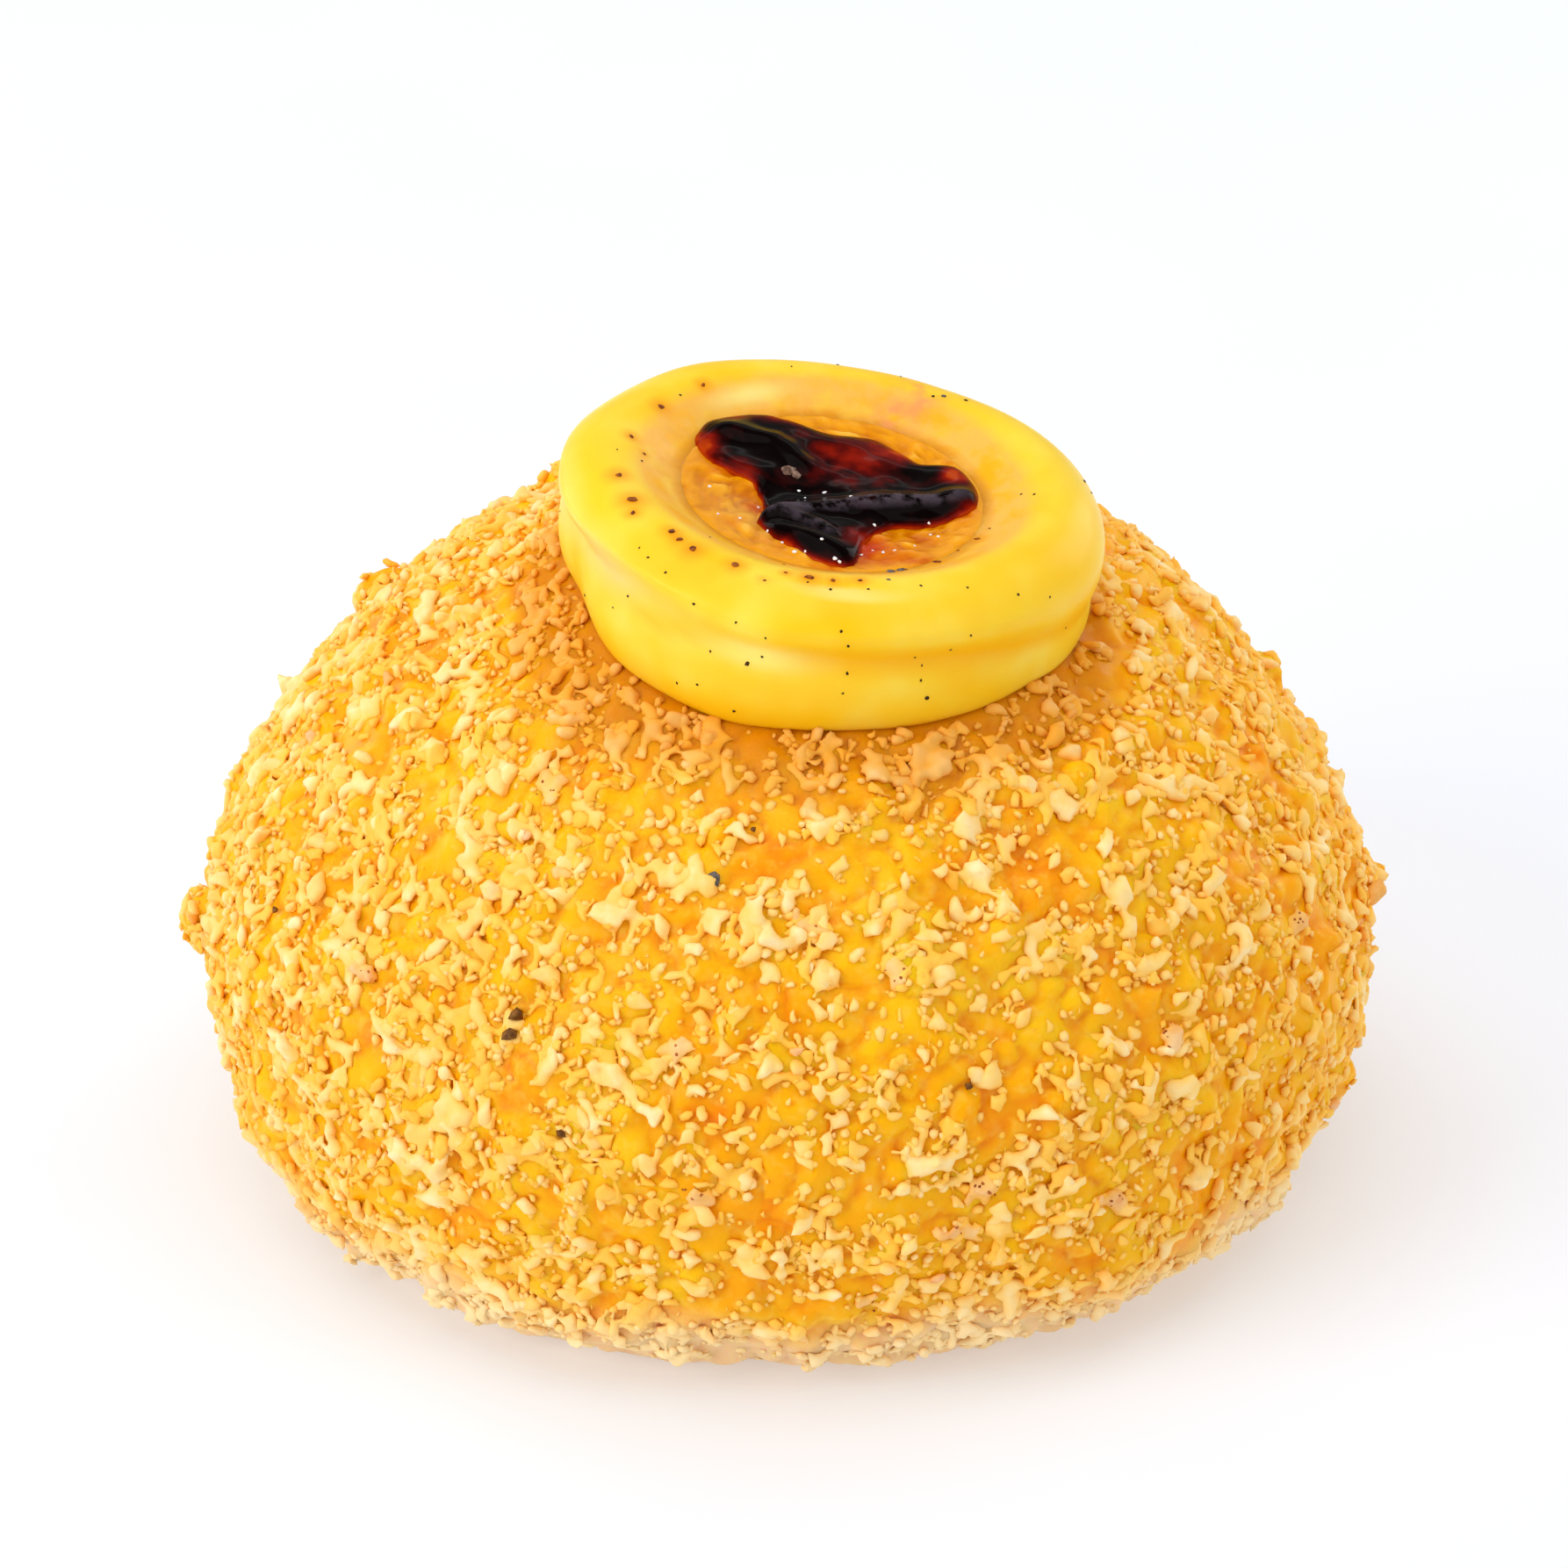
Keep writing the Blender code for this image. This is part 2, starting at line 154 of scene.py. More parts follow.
def new_finish(name):
    """A material with its node tree and its Principled shader."""
    material = bpy.data.materials.new(name)
    material.use_nodes = True
    return material, material.node_tree, material.node_tree.nodes["Principled BSDF"]


def grain(tree, size, detail=2.0, rough=0.5):
    """Noise whose blobs are about this many metres across, from 0 to 1."""
    place = tree.nodes.new("ShaderNodeTexCoord")
    node = tree.nodes.new("ShaderNodeTexNoise")
    node.inputs["Scale"].default_value = 1 / size
    node.inputs["Detail"].default_value = detail
    node.inputs["Roughness"].default_value = rough
    tree.links.new(place.outputs["Object"], node.inputs["Vector"])
    return node.outputs["Fac"]


def stored(tree, name):
    """A number that was stored on the mesh for every vertex."""
    node = tree.nodes.new("ShaderNodeAttribute")
    node.attribute_name = name
    return node.outputs["Fac"]


def ramp(tree, factor, stops):
    """Colours that blend from one stop to the next: stops are (position, colour code)."""
    node = tree.nodes.new("ShaderNodeValToRGB")
    node.color_ramp.interpolation = "LINEAR"
    while len(node.color_ramp.elements) < len(stops):
        node.color_ramp.elements.new(0.5)
    for element, (position, code) in zip(node.color_ramp.elements, stops):
        element.position = position
        element.color = paint(code)
    tree.links.new(factor, node.inputs["Fac"])
    return node.outputs["Color"]


def fit(tree, factor, low, high, to_low=0.0, to_high=1.0):
    """Stretch a range of numbers to another, and clamp it there."""
    node = tree.nodes.new("ShaderNodeMapRange")
    node.inputs["From Min"].default_value = low
    node.inputs["From Max"].default_value = high
    node.inputs["To Min"].default_value = to_low
    node.inputs["To Max"].default_value = to_high
    tree.links.new(factor, node.inputs["Value"])
    return node.outputs["Result"]


def times(tree, one, other):
    """The product of two numbers."""
    node = tree.nodes.new("ShaderNodeMath")
    node.operation = "MULTIPLY"
    tree.links.new(one, node.inputs[0])
    tree.links.new(other, node.inputs[1])
    return node.outputs[0]


def blend(tree, factor, under, over, way="MIX"):
    """Lay one colour over another by a factor, a socket or a number. Colours may be codes."""
    node = tree.nodes.new("ShaderNodeMix")
    node.data_type = "RGBA"
    node.blend_type = way
    if isinstance(factor, float):
        node.inputs[0].default_value = factor
    else:
        tree.links.new(factor, node.inputs[0])
    for at, color in ((6, under), (7, over)):
        if isinstance(color, str):
            node.inputs[at].default_value = paint(color)
        else:
            tree.links.new(color, node.inputs[at])
    return node.outputs[2]


def bump(tree, shader, height, strength, depth):
    """Fine relief that only turns the light: depth is in metres."""
    node = tree.nodes.new("ShaderNodeBump")
    node.inputs["Strength"].default_value = strength
    node.inputs["Distance"].default_value = depth
    tree.links.new(height, node.inputs["Height"])
    tree.links.new(node.outputs["Normal"], shader.inputs["Normal"])


def soften(shader, weight, radius, depth):
    """Light that enters, spreads a little and comes out again, as in bread and custard."""
    shader.inputs["Subsurface Weight"].default_value = weight
    shader.inputs["Subsurface Radius"].default_value = radius
    shader.inputs["Subsurface Scale"].default_value = depth


def surface(tree, shader, color, roughness, gloss):
    """Give the shader its colour, its roughness and how strongly it mirrors."""
    tree.links.new(color, shader.inputs["Base Color"])
    shader.inputs["Roughness"].default_value = roughness
    shader.inputs["Specular IOR Level"].default_value = gloss


def lay(tree, color, code, factor, low, high, most):
    """Lay a colour over the others where a factor runs from low to high."""
    return blend(tree, fit(tree, factor, low, high, 0.0, most), color, code)


print("screen white is linear", paint("FFFFFF")[:3])

# %% [markdown]
# ## Floor
#
# The bun stands on a plain white table. One large grid is enough. It is staged, which means
# that it belongs to the studio and not to the bun. Tables for such pictures are lit from
# below, so it glows a little, which keeps the shadow under the bun soft and short. A very
# faint mottle keeps it from being a single flat colour.

# %% Floor
FLOOR_SIDE = 4.0
TABLE_GLOW = (0.345, 0.334, 0.332, 1.0)


def make_floor():
    """A large square at z = 0 that belongs to the studio."""
    bm = bmesh.new()
    bmesh.ops.create_grid(bm, x_segments=4, y_segments=4, size=FLOOR_SIDE / 2)
    mesh = bpy.data.meshes.new("floor")
    bm.to_mesh(mesh)
    bm.free()
    floor = bpy.data.objects.new("floor", mesh)
    bpy.context.scene.collection.objects.link(floor)
    material, tree, shader = new_finish("table_white")
    mottle = ramp(tree, grain(tree, 0.06), [(0.3, "C5CAD2"), (0.7, "C8CDD5")])
    tree.links.new(mottle, shader.inputs["Base Color"])
    shader.inputs["Roughness"].default_value = 0.85
    shader.inputs["Emission Color"].default_value = TABLE_GLOW
    shader.inputs["Emission Strength"].default_value = 1.0
    mesh.materials.append(material)


make_floor()
print("floor", FLOOR_SIDE, "m square at z = 0")

# %% [markdown]
# ## From solid to crust
#
# The CAD bun has the right form but few, flat faces. Its mesh is loose triangles, so the
# copy is merged before anything else. A voxel remesh then gives it even faces of about half
# a millimetre, and smoothing rounds the corners off. Subdividing would have kept the
# corners, and sculpting can't be repeated by a script.

# %% Copy, remesh and smooth the bun
CRUST_VOXEL = 0.53 * MM
CRUST_SMOOTHING = 14


def piece_from(name, verts, faces):
    """A smooth object at the origin, with its place in its mesh."""
    mesh = bpy.data.meshes.new(name)
    mesh.from_pydata(verts, [], faces)
    mesh.shade_smooth()
    piece = bpy.data.objects.new(name, mesh)
    bpy.context.scene.collection.objects.link(piece)
    return piece


def link_piece(name, bm):
    """A piece from a bmesh.

    A bmesh may list its faces in another order on each run. They are put in a fixed order
    here, because random draws that count faces would else differ from run to run.
    """
    bm.verts.index_update()
    faces = []
    for face in bm.faces:
        corners = [vertex.index for vertex in face.verts]
        first = corners.index(min(corners))
        faces.append(corners[first:] + corners[:first])
    verts = [vertex.co[:] for vertex in bm.verts]
    bm.free()
    return piece_from(name, verts, sorted(faces))


def apply_modifiers(piece):
    """Keep the result of the modifiers as the mesh."""
    bpy.context.view_layer.update()
    graph = bpy.context.evaluated_depsgraph_get()
    finished = bpy.data.meshes.new_from_object(piece.evaluated_get(graph))
    piece.modifiers.clear()
    old = piece.data
    piece.data = finished
    bpy.data.meshes.remove(old)


def copy_of_solid(node, name):
    """A merged copy of a CAD solid."""
    bm = bmesh.new()
    bm.from_mesh(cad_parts[node].data)
    bmesh.ops.remove_doubles(bm, verts=bm.verts, dist=0.002 * MM)
    return link_piece(name, bm)


crust = copy_of_solid("bun", "bun_crust")
remesh = crust.modifiers.new("even_faces", "REMESH")
remesh.mode = "VOXEL"
remesh.voxel_size = CRUST_VOXEL
soft = crust.modifiers.new("soft", "SMOOTH")
soft.factor = 0.5
soft.iterations = CRUST_SMOOTHING
apply_modifiers(crust)
print("crust:", len(crust.data.vertices), "vertices,", len(crust.data.polygons), "faces")

# %% [markdown]
# ## Where the ring stands
#
# The custard ring leans to the front and to one side. Its own frame has Z along its axis and
# z = 0 at the middle of the upper coil, so its shape can be worked out upright and set down
# with one matrix. The crust asks the same frame how near it is to the ring.

# %% Ring frame
RING_CENTER = Vector((2.6, -7.0, 51.6)) * MM
RING_LEAN = Euler((math.radians(6.5), math.radians(6.8), 0))
RING_FRAME = Matrix.Translation(RING_CENTER) @ RING_LEAN.to_matrix().to_4x4()
TO_RING = RING_FRAME.inverted()
COIL_CENTER_RADIUS = 15.0 * MM
COIL_HALF_WIDTH = 3.8 * MM
COIL_HALF_HEIGHT = 4.4 * MM
COIL_SPACING = 3.7 * MM
WAIST_HEIGHT = 19.8 * MM
RING_LOWEST = 35 * MM


def ease(value, low, high):
    """0 below low, 1 above high, and a smooth step between them."""
    t = min(max((value - low) / (high - low), 0.0), 1.0)
    return t * t * (3 - 2 * t)


def ring_distance(point):
    """How far a point is from the ring's axis."""
    local = TO_RING @ point
    return math.hypot(local.x, local.y)


def clear_of_ring(point):
    """0 where the ring covers the bun, and 1 clear of it."""
    if point.z < WAIST_HEIGHT:
        return 1.0
    covered = COIL_CENTER_RADIUS + COIL_HALF_WIDTH
    return ease(ring_distance(point), covered - 1.0 * MM, covered + 0.6 * MM)


print("ring axis leans", [round(math.degrees(angle), 1) for angle in RING_LEAN[:2]], "degrees")

# %% [markdown]
# ## Relief of the crust
#
# Between the crumbs the crust is smooth, oily and uneven, with soft lumps and small pits.
# Each vertex is moved along its normal by noise: billows, which are the absolute value of
# noise, give rounded lumps with sharp dips between them. How deep a vertex lies is stored
# on the mesh, because the finish paints shade into the pits as a deeper amber.

# %% Crust relief
BILLOW_HEIGHT = 0.55 * MM
BILLOW_LENGTH = 2.6 * MM
RIPPLE_HEIGHT = 0.16 * MM
RIPPLE_LENGTH = 1.1 * MM


def store(mesh, name, values):
    """Keep one number for every vertex."""
    attribute = mesh.attributes.new(name, "FLOAT", "POINT")
    attribute.data.foreach_set("value", np.asarray(values, np.float32))


def store_shares(piece, shares):
    """Keep what each rule gives at every vertex, under the rule's name."""
    for name, share in shares.items():
        store(piece.data, name, [share(vertex.co) for vertex in piece.data.vertices])


def raise_crust(mesh):
    """Move the vertices in and out by noise, and keep how high each one lies."""
    depths = []
    normals = [vertex.normal.copy() for vertex in mesh.vertices]
    for vertex, normal in zip(mesh.vertices, normals):
        place = vertex.co
        billow = abs(noise.noise(place / BILLOW_LENGTH)) * 2 - 0.45
        ripple = noise.noise(place / RIPPLE_LENGTH + Vector((7, 3, 5)))
        share = clear_of_ring(place) * ease(place.z, 0.0, 1.5 * MM)
        depths.append(0.5 + 0.5 * billow + 0.2 * ripple)
        vertex.co = place + normal * (billow * BILLOW_HEIGHT + ripple * RIPPLE_HEIGHT) * share
    store(mesh, "height", depths)
    return depths


depths = raise_crust(crust.data)
print("crust height runs from", round(min(depths), 2), "to", round(max(depths), 2))

# %% [markdown]
# ## Crust finish
#
# The bare crust shines through the coat as bright golden amber, with slow drifts from yellow
# to orange, and painted shade makes it a deeper amber in the pits. At the foot of the custard
# ring, most of all in front, a darker amber is painted shadow of the ring. Near the table the
# dough stayed pale, because it browned least. The crust is a little glossy, and light goes
# some way into it.

# %% Crust finish
def crust_finish():
    """Golden amber that drifts, with painted shade in the pits and at the ring's foot, and a pale belt."""
    material, tree, shader = new_finish("golden_crust")
    drift = ramp(tree, grain(tree, 8 * MM), [(0.35, "FFA400"), (0.5, "FFB200"), (0.65, "FFBE0C")])
    # painted shade: the lower a vertex lies, the deeper the amber in the pits
    pit_shade = ramp(tree, stored(tree, "height"), [(0.1, "EEC29A"), (0.5, "FFFFFF")])
    color = blend(tree, 1.0, drift, pit_shade, "MULTIPLY")
    color = lay(tree, color, "FFCC52", grain(tree, 0.9 * MM, 3), 0.52, 0.72, 0.4)
    # painted shadow of the custard ring on the crust at its foot
    color = lay(tree, color, "D68200", stored(tree, "ring_shadow"), 0.1, 0.9, 0.85)
    color = lay(tree, color, "F8D09C", stored(tree, "belt"), 0.0, 0.7, 0.9)
    surface(tree, shader, color, roughness=0.38, gloss=0.12)
    soften(shader, 0.6, (1.0, 0.5, 0.1), 1.2 * MM)
    bump(tree, shader, grain(tree, 0.5 * MM, 3), 0.35, 0.15 * MM)
    return material


BELT_TOP = 9.0 * MM
BELT_WANDER = 2.2 * MM
# painted shadow of the custard ring, on the crust and on the crumbs at its foot
RING_SHADOW_START = 19.5 * MM
RING_SHADOW_REACH = 22
RING_SHADOW_REACH_IN_FRONT = 3.5
RING_SHADOW_WANDER = 1.6 * MM


def belt_share(place):
    """1 on the pale dough next to the table, fading upwards along an uneven line."""
    wander = BELT_WANDER * noise.noise(place / (9 * MM))
    return 1 - ease(place.z + wander, 2.0 * MM, BELT_TOP)


def ring_shadow_share(place):
    """1 at the foot of the custard ring, where its shadow is painted on the crust, most of all in front."""
    if place.z < RING_LOWEST:
        return 0.0
    wander = RING_SHADOW_WANDER * noise.noise(place / (4 * MM))
    reach = (RING_SHADOW_REACH + RING_SHADOW_REACH_IN_FRONT * ease(-place.y, 6 * MM, 20 * MM)) * MM
    return 1 - ease(ring_distance(place) + wander, RING_SHADOW_START, reach)


store_shares(crust, {"belt": belt_share, "ring_shadow": ring_shadow_share})
crust.data.materials.clear()
crust.data.materials.append(crust_finish())
crust.data.shade_smooth()
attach(crust, "root")
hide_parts("bun")
print("crust finished")

# %% [markdown]
# ## Custard ring: the section
#
# A piping bag laid two coils of custard, one on the other, and their cut through one side is
# a tall rounded shape with a shallow crease, a sloping shelf and a straight inner wall.
# Drawing that outline once and spinning it round Z is how a lathe object is made in Blender.
# The spin is a full one, so `use_merge` closes it.

# %% Ring section and spin
SHELF_DROP = 1.7 * MM
POOL_WALL_RADIUS = 10.2 * MM
ARC_STEPS = 14
SHELF_STEPS = 12
WALL_STEPS = 4
RING_STEPS = 144


def coil_arc(middle, start, end):
    """Outer outline of one coil, as points of radius and height."""
    for index in range(ARC_STEPS + 1):
        turn = start + (end - start) * index / ARC_STEPS
        radius = COIL_CENTER_RADIUS + COIL_HALF_WIDTH * math.cos(turn)
        yield radius, middle + COIL_HALF_HEIGHT * math.sin(turn)


def round_off(points, middle, reach, rounds):
    """Smooth the outline near one of its points."""
    for _ in range(rounds):
        for at in range(middle - reach, middle + reach + 1):
            beside = [points[at - 1], points[at], points[at], points[at + 1]]
            points[at] = tuple(sum(values) / 4 for values in zip(*beside))


def ring_section():
    """Two coils outside, a sloping shelf and a wall inside."""
    meet = math.asin(COIL_SPACING / 2 / COIL_HALF_HEIGHT)
    points = list(coil_arc(-COIL_SPACING, -math.pi / 2, meet))
    points += list(coil_arc(0.0, -meet, math.pi / 2))[1:]
    round_off(points, ARC_STEPS, 4, 6)
    for index in range(1, SHELF_STEPS + 1):
        share = index / SHELF_STEPS
        radius = COIL_CENTER_RADIUS + (POOL_WALL_RADIUS - COIL_CENTER_RADIUS) * share
        fall = SHELF_DROP * (1 - math.cos(math.pi * share)) / 2
        points.append((radius, COIL_HALF_HEIGHT - fall))
    top = COIL_HALF_HEIGHT - SHELF_DROP
    bottom = -COIL_SPACING - COIL_HALF_HEIGHT
    for index in range(1, WALL_STEPS + 1):
        points.append((POOL_WALL_RADIUS, top + (bottom - top) * index / WALL_STEPS))
    return points


def spin_section(section, steps, closed):
    """A section of radius and height points, turned once round Z."""
    bm = bmesh.new()
    verts = [bm.verts.new((radius, 0.0, height)) for radius, height in section]
    edges = [bm.edges.new(pair) for pair in zip(verts, verts[1:])]
    if closed:
        edges.append(bm.edges.new((verts[-1], verts[0])))
    bmesh.ops.spin(
        bm, geom=verts + edges, cent=(0, 0, 0), axis=(0, 0, 1), angle=math.tau,
        steps=steps, use_merge=True,
    )
    bmesh.ops.remove_doubles(bm, verts=bm.verts, dist=0.001 * MM)
    bmesh.ops.recalc_face_normals(bm, faces=bm.faces)
    return bm


ring_bm = spin_section(ring_section(), RING_STEPS, closed=True)
print("ring:", len(ring_bm.verts), "vertices before it is shaped")

# %% [markdown]
# ## Custard ring: piped by hand
#
# A spun ring is too perfect. The piped one is a little oval, its lower coil lies off centre,
# and on the left the upper coil hangs over the lower one as a lip. Soft custard also sags
# unevenly, which slow noise gives. The changes grow from the pool's wall to the outside, so
# that the pool still fits. The underside is lifted until it just rests on the crust.

# %% Shape the ring
WAVE_TWO = 0.35 * MM
WAVE_THREE = 0.35 * MM
WAVE_ANGLE = math.radians(12)
LOWER_SHIFT = 0.5 * MM
LOWER_SHIFT_ANGLE = math.radians(200)
LIP_ANGLE = math.radians(195)
LIP_SPREAD = math.radians(24)
LIP_OUT = 0.35 * MM
LIP_IN = 1.6 * MM
SEAM_MIDDLE = -1.85 * MM
SEAM_SPREAD = 3.9 * MM
SEAM_WANDER = (
    # side in degrees, how far the seam between the coils lies above its middle, in mm
    (0, 0.6), (45, 0.4), (90, 0.2), (135, 0.5), (175, 2.0), (199, 3.1), (226, 3.5), (240, 2.6),
    (256, 2.0), (280, 2.0), (306, 1.8), (331, 0.9),
)
GROOVE_DEPTH = (
    # side in degrees, depth of the groove along the seam, in mm
    (0, 0.15), (90, 0.25), (150, 0.2), (195, 0.1), (222, 0.05), (240, 0.15), (262, 0.5), (290, 0.48),
    (325, 0.2),
)
GROOVE_WIDTH = 1.0 * MM
SAG_HEIGHT = 0.30 * MM
SAG_LENGTH = 6.5 * MM
REST_GAP = 0.05 * MM


def lip_share(turn):
    """1 in the middle of the overhanging lip, fading to 0 on both sides of it."""
    gone = math.remainder(turn - LIP_ANGLE, math.tau)
    return math.exp(-((gone / LIP_SPREAD) ** 2))


def around(table, turn):
    """A smooth value at one side, in degrees, from a table of (side, value) in growing order."""
    turn %= 360.0
    after = next((at for at, (side, _) in enumerate(table) if side > turn), 0)
    (low, b), (high, c) = table[after - 1], table[after]
    a, d = table[after - 2][1], table[(after + 1) % len(table)][1]
    t = ((turn - low) % 360.0) / ((high - low) % 360.0)
    curve = (2 * a - 5 * b + 4 * c - d) * t ** 2 + (3 * b - a - 3 * c + d) * t ** 3
    return b + 0.5 * ((c - a) * t + curve)


def ring_change(turn, height):
    """How far the outside moves out at one side and height."""
    change = WAVE_TWO * math.cos(2 * turn) + WAVE_THREE * math.cos(3 * (turn - WAVE_ANGLE))
    groove = around(GROOVE_DEPTH, math.degrees(turn)) * MM
    change -= groove * math.exp(-(((height - SEAM_MIDDLE) / GROOVE_WIDTH) ** 2))
    change += LIP_OUT * lip_share(turn) * ease(height, SEAM_MIDDLE, 0.0)
    lower = 1 - ease(height, SEAM_MIDDLE - 1.2 * MM, SEAM_MIDDLE + 0.4 * MM)
    under_lip = 1 - ease(height, SEAM_MIDDLE - 0.5 * MM, SEAM_MIDDLE + 0.2 * MM)
    change += LOWER_SHIFT * math.cos(turn - LOWER_SHIFT_ANGLE) * lower
    return change - LIP_IN * lip_share(turn) * under_lip


def tree_of(piece):
    """A search tree over a finished mesh, for rays and nearest points."""
    mesh = piece.data
    verts = [vertex.co.copy() for vertex in mesh.vertices]
    return BVHTree.FromPolygons(verts, [face.vertices[:] for face in mesh.polygons])


def shape_ring(bm, crust_tree):
    """Bend the spun ring, set it on the crust and count the vertices that were lifted."""
    up = (RING_FRAME.to_3x3() @ Vector((0, 0, 1))).normalized()
    for vertex in bm.verts:
        radius = math.hypot(vertex.co.x, vertex.co.y)
        turn = math.atan2(vertex.co.y, vertex.co.x)
        outside = ease(radius, POOL_WALL_RADIUS, COIL_CENTER_RADIUS)
        change = ring_change(turn, vertex.co.z)
        change += SAG_HEIGHT * noise.noise(vertex.co / SAG_LENGTH)
        near_seam = math.exp(-(((vertex.co.z - SEAM_MIDDLE) / SEAM_SPREAD) ** 2))
        vertex.co.z += around(SEAM_WANDER, math.degrees(turn)) * MM * near_seam * outside
        scale = (radius + change * outside) / radius
        vertex.co.x *= scale
        vertex.co.y *= scale
        vertex.co.z += 0.5 * SAG_HEIGHT * outside * noise.noise(vertex.co / SAG_LENGTH + Vector((9, 0, 0)))
    bm.transform(RING_FRAME)
    lifted = 0
    for vertex in bm.verts:
        start = vertex.co + up * 0.05
        hit, _, _, _ = crust_tree.ray_cast(start, -up)
        if hit is None:
            continue
        under = (hit + up * REST_GAP - vertex.co).dot(up)
        if under > 0:
            vertex.co += up * under
            lifted += 1
    return lifted


crust_tree = tree_of(crust)
lifted = shape_ring(ring_bm, crust_tree)
print("ring:", lifted, "vertices lifted onto the crust")

# %% [markdown]
# ## Custard ring: what the finish needs to know
#
# The outside is clean bright yellow. The sloping shelf inside was scorched: peach and tan,
# amber next to the pool, and browner on its left. None of this follows plain space, it
# follows the ring. So each vertex stores how far down the shelf it lies, how scorched its
# side is, how near the foot it is, and whether the syrup ran over it at the back.

# %% Ring attributes
def ring_local(place):
    """Radius, side in degrees and height of a point in the ring's own frame."""
    local = TO_RING @ place
    return math.hypot(local.x, local.y), math.degrees(math.atan2(local.y, local.x)), local.z


def angle_window(turn, middle, width):
    """1 at one side of the ring, fading to 0 at this many degrees from it."""
    gone = abs(math.remainder(turn - middle, 360.0))
    return 1 - ease(gone, 0.0, width)


def shelf_share(place):
    """How far down the sloping shelf a point lies."""
    radius, _, height = ring_local(place)
    if height < 1.0 * MM:
        return 0.0
    return 1 - ease(radius, POOL_WALL_RADIUS, COIL_CENTER_RADIUS - 0.3 * MM)


def scorch_share(place):
    """How scorched the side of the ring is that a point lies on."""
    _, turn, _ = ring_local(place)
    left = angle_window(turn, 175, 75)
    back = 0.55 * angle_window(turn, 95, 70)
    front = 0.35 * angle_window(turn, -75, 80)
    return max(left, back, front)


def foot_share(place):
    """1 at the foot of the ring, fading upwards."""
    _, _, height = ring_local(place)
    return 1 - ease(height, -7.5 * MM, -2.5 * MM)


def stain_share(place):
    """The streak of syrup that ran over the back right of the ring."""
    radius, turn, height = ring_local(place)
    if height < 0:
        return 0.0
    middle = 66 + 9 * noise.noise(place / (3 * MM))
    width = 13 - 5 * ease(radius, 11 * MM, 16 * MM)
    return angle_window(turn, middle, width) * (1 - ease(radius, 15 * MM, 18.5 * MM))


SEAM_SHADE = (
    # side in degrees, how strong the painted shade along the seam is
    (0, 0.6), (90, 0.6), (180, 0.3), (225, 0.15), (248, 0.7), (300, 1.0), (330, 0.8),
)


def seam_shade_share(place):
    """Up to 1 along the seam between the coils, on the outside, where shade is painted."""
    radius, turn, height = ring_local(place)
    if radius < 15 * MM:
        return 0.0
    seam = SEAM_MIDDLE + around(SEAM_WANDER, turn) * MM
    return around(SEAM_SHADE, turn) * math.exp(-(((height - seam) / (1.0 * MM)) ** 2))


ring = link_piece("custard_coils", ring_bm)
places = [vertex.co.copy() for vertex in ring.data.vertices]
ring_shares = {
    "shelf": shelf_share, "scorch": scorch_share, "foot": foot_share, "stain": stain_share,
    "seam": seam_shade_share,
}
store_shares(ring, ring_shares)
rounding = ring.modifiers.new("rounding", "SUBSURF")
rounding.levels = 1
rounding.render_levels = 1
print("ring:", len(ring.data.polygons), "faces before it is rounded")

# %% [markdown]
# ## Custard ring: patches and burnt spots
#
# Some places are paler or yellower than the rest, such as the crest on the left. Others are
# painted light and shade: painted shade in the hollow under the lip and along the fold, and
# painted highlights on the bulge under the fold, on the front crest and at the back. The torch
# also left small burnt spots with an orange halo on the shelf. Each of them is placed by
# looking from the camera through one point of the picture, and the ring is asked where that
# line meets it. So they lie on the custard, and they are right from every side.

# %% Patches on the ring
# Painted shade: the patches under the lip and along the fold. Painted highlights: the patches on the bulge,
# the front crest and the back.
PATCHES = (
    # name, pixel across and down, half length along the ring and half width in mm
    ("vivid", 668, 545, 6.5, 1.9),
    ("lip_shade", 684, 632, 6.0, 1.5),
    ("fold_shade", 762, 714, 5.0, 0.6),
    ("bulge_highlight", 866, 748, 4.0, 0.9),
    ("warm", 1226, 640, 6.5, 2.6),
    ("crest_highlight", 965, 677, 3.4, 0.45),
    ("back_highlight", 852, 449, 3.2, 0.8),
    ("ochre", 815, 612, 2.4, 0.9),
)
BURNT = (
    # pixel across and down, size in mm
    (705, 541, 0.75), (720, 569, 0.85), (721, 584, 0.5), (765, 605, 0.55), (774, 614, 0.55),
    (789, 625, 0.75), (838, 643, 0.6), (801, 438, 0.5), (753, 463, 0.65), (719, 497, 0.5),
    (893, 643, 0.35), (895, 652, 0.35), (922, 657, 0.75), (949, 661, 0.5), (980, 661, 0.45),
    (1067, 640, 0.75), (1091, 627, 0.35), (1113, 614, 0.55), (871, 661, 0.3), (734, 517, 0.35),
)
HALO_SPREAD = 1.4


def meet(tree, px, py):
    """Where the line through a pixel meets a piece, and the outward direction there."""
    hit, normal, _, _ = tree.ray_cast(camera.location, sight(px, py))
    return hit, normal


def patch_shares(tree, px, py, along, across):
    """How much each vertex of the ring belongs to a patch."""
    hit, _ = meet(tree, px, py)
    radius, turn, height = ring_local(hit)
    shares = []
    for place in places:
        at_radius, at_turn, at_height = ring_local(place)
        gone = radius * math.radians(math.remainder(at_turn - turn, 360.0))
        aside = math.hypot(at_radius - radius, at_height - height)
        shares.append(math.exp(-((gone / along / MM) ** 2) - (aside / across / MM) ** 2))
    return shares


def halo_share(place):
    """1 on a burnt spot, fading to 0 in the halo round it."""
    return max(
        math.exp(-(((place - hit).length / size / HALO_SPREAD) ** 2)) for hit, size in burnt_at
    )


ring_tree = tree_of(ring)
for name, px, py, along, across in PATCHES:
    store(ring.data, name, patch_shares(ring_tree, px, py, along, across))
burnt_at = [(meet(ring_tree, px, py)[0], size * MM) for px, py, size in BURNT]
burnt_at = [(hit, size) for hit, size in burnt_at if hit is not None]
store_shares(ring, {"halo": halo_share})
print(len(PATCHES), "patches and", len(burnt_at), "burnt spots")
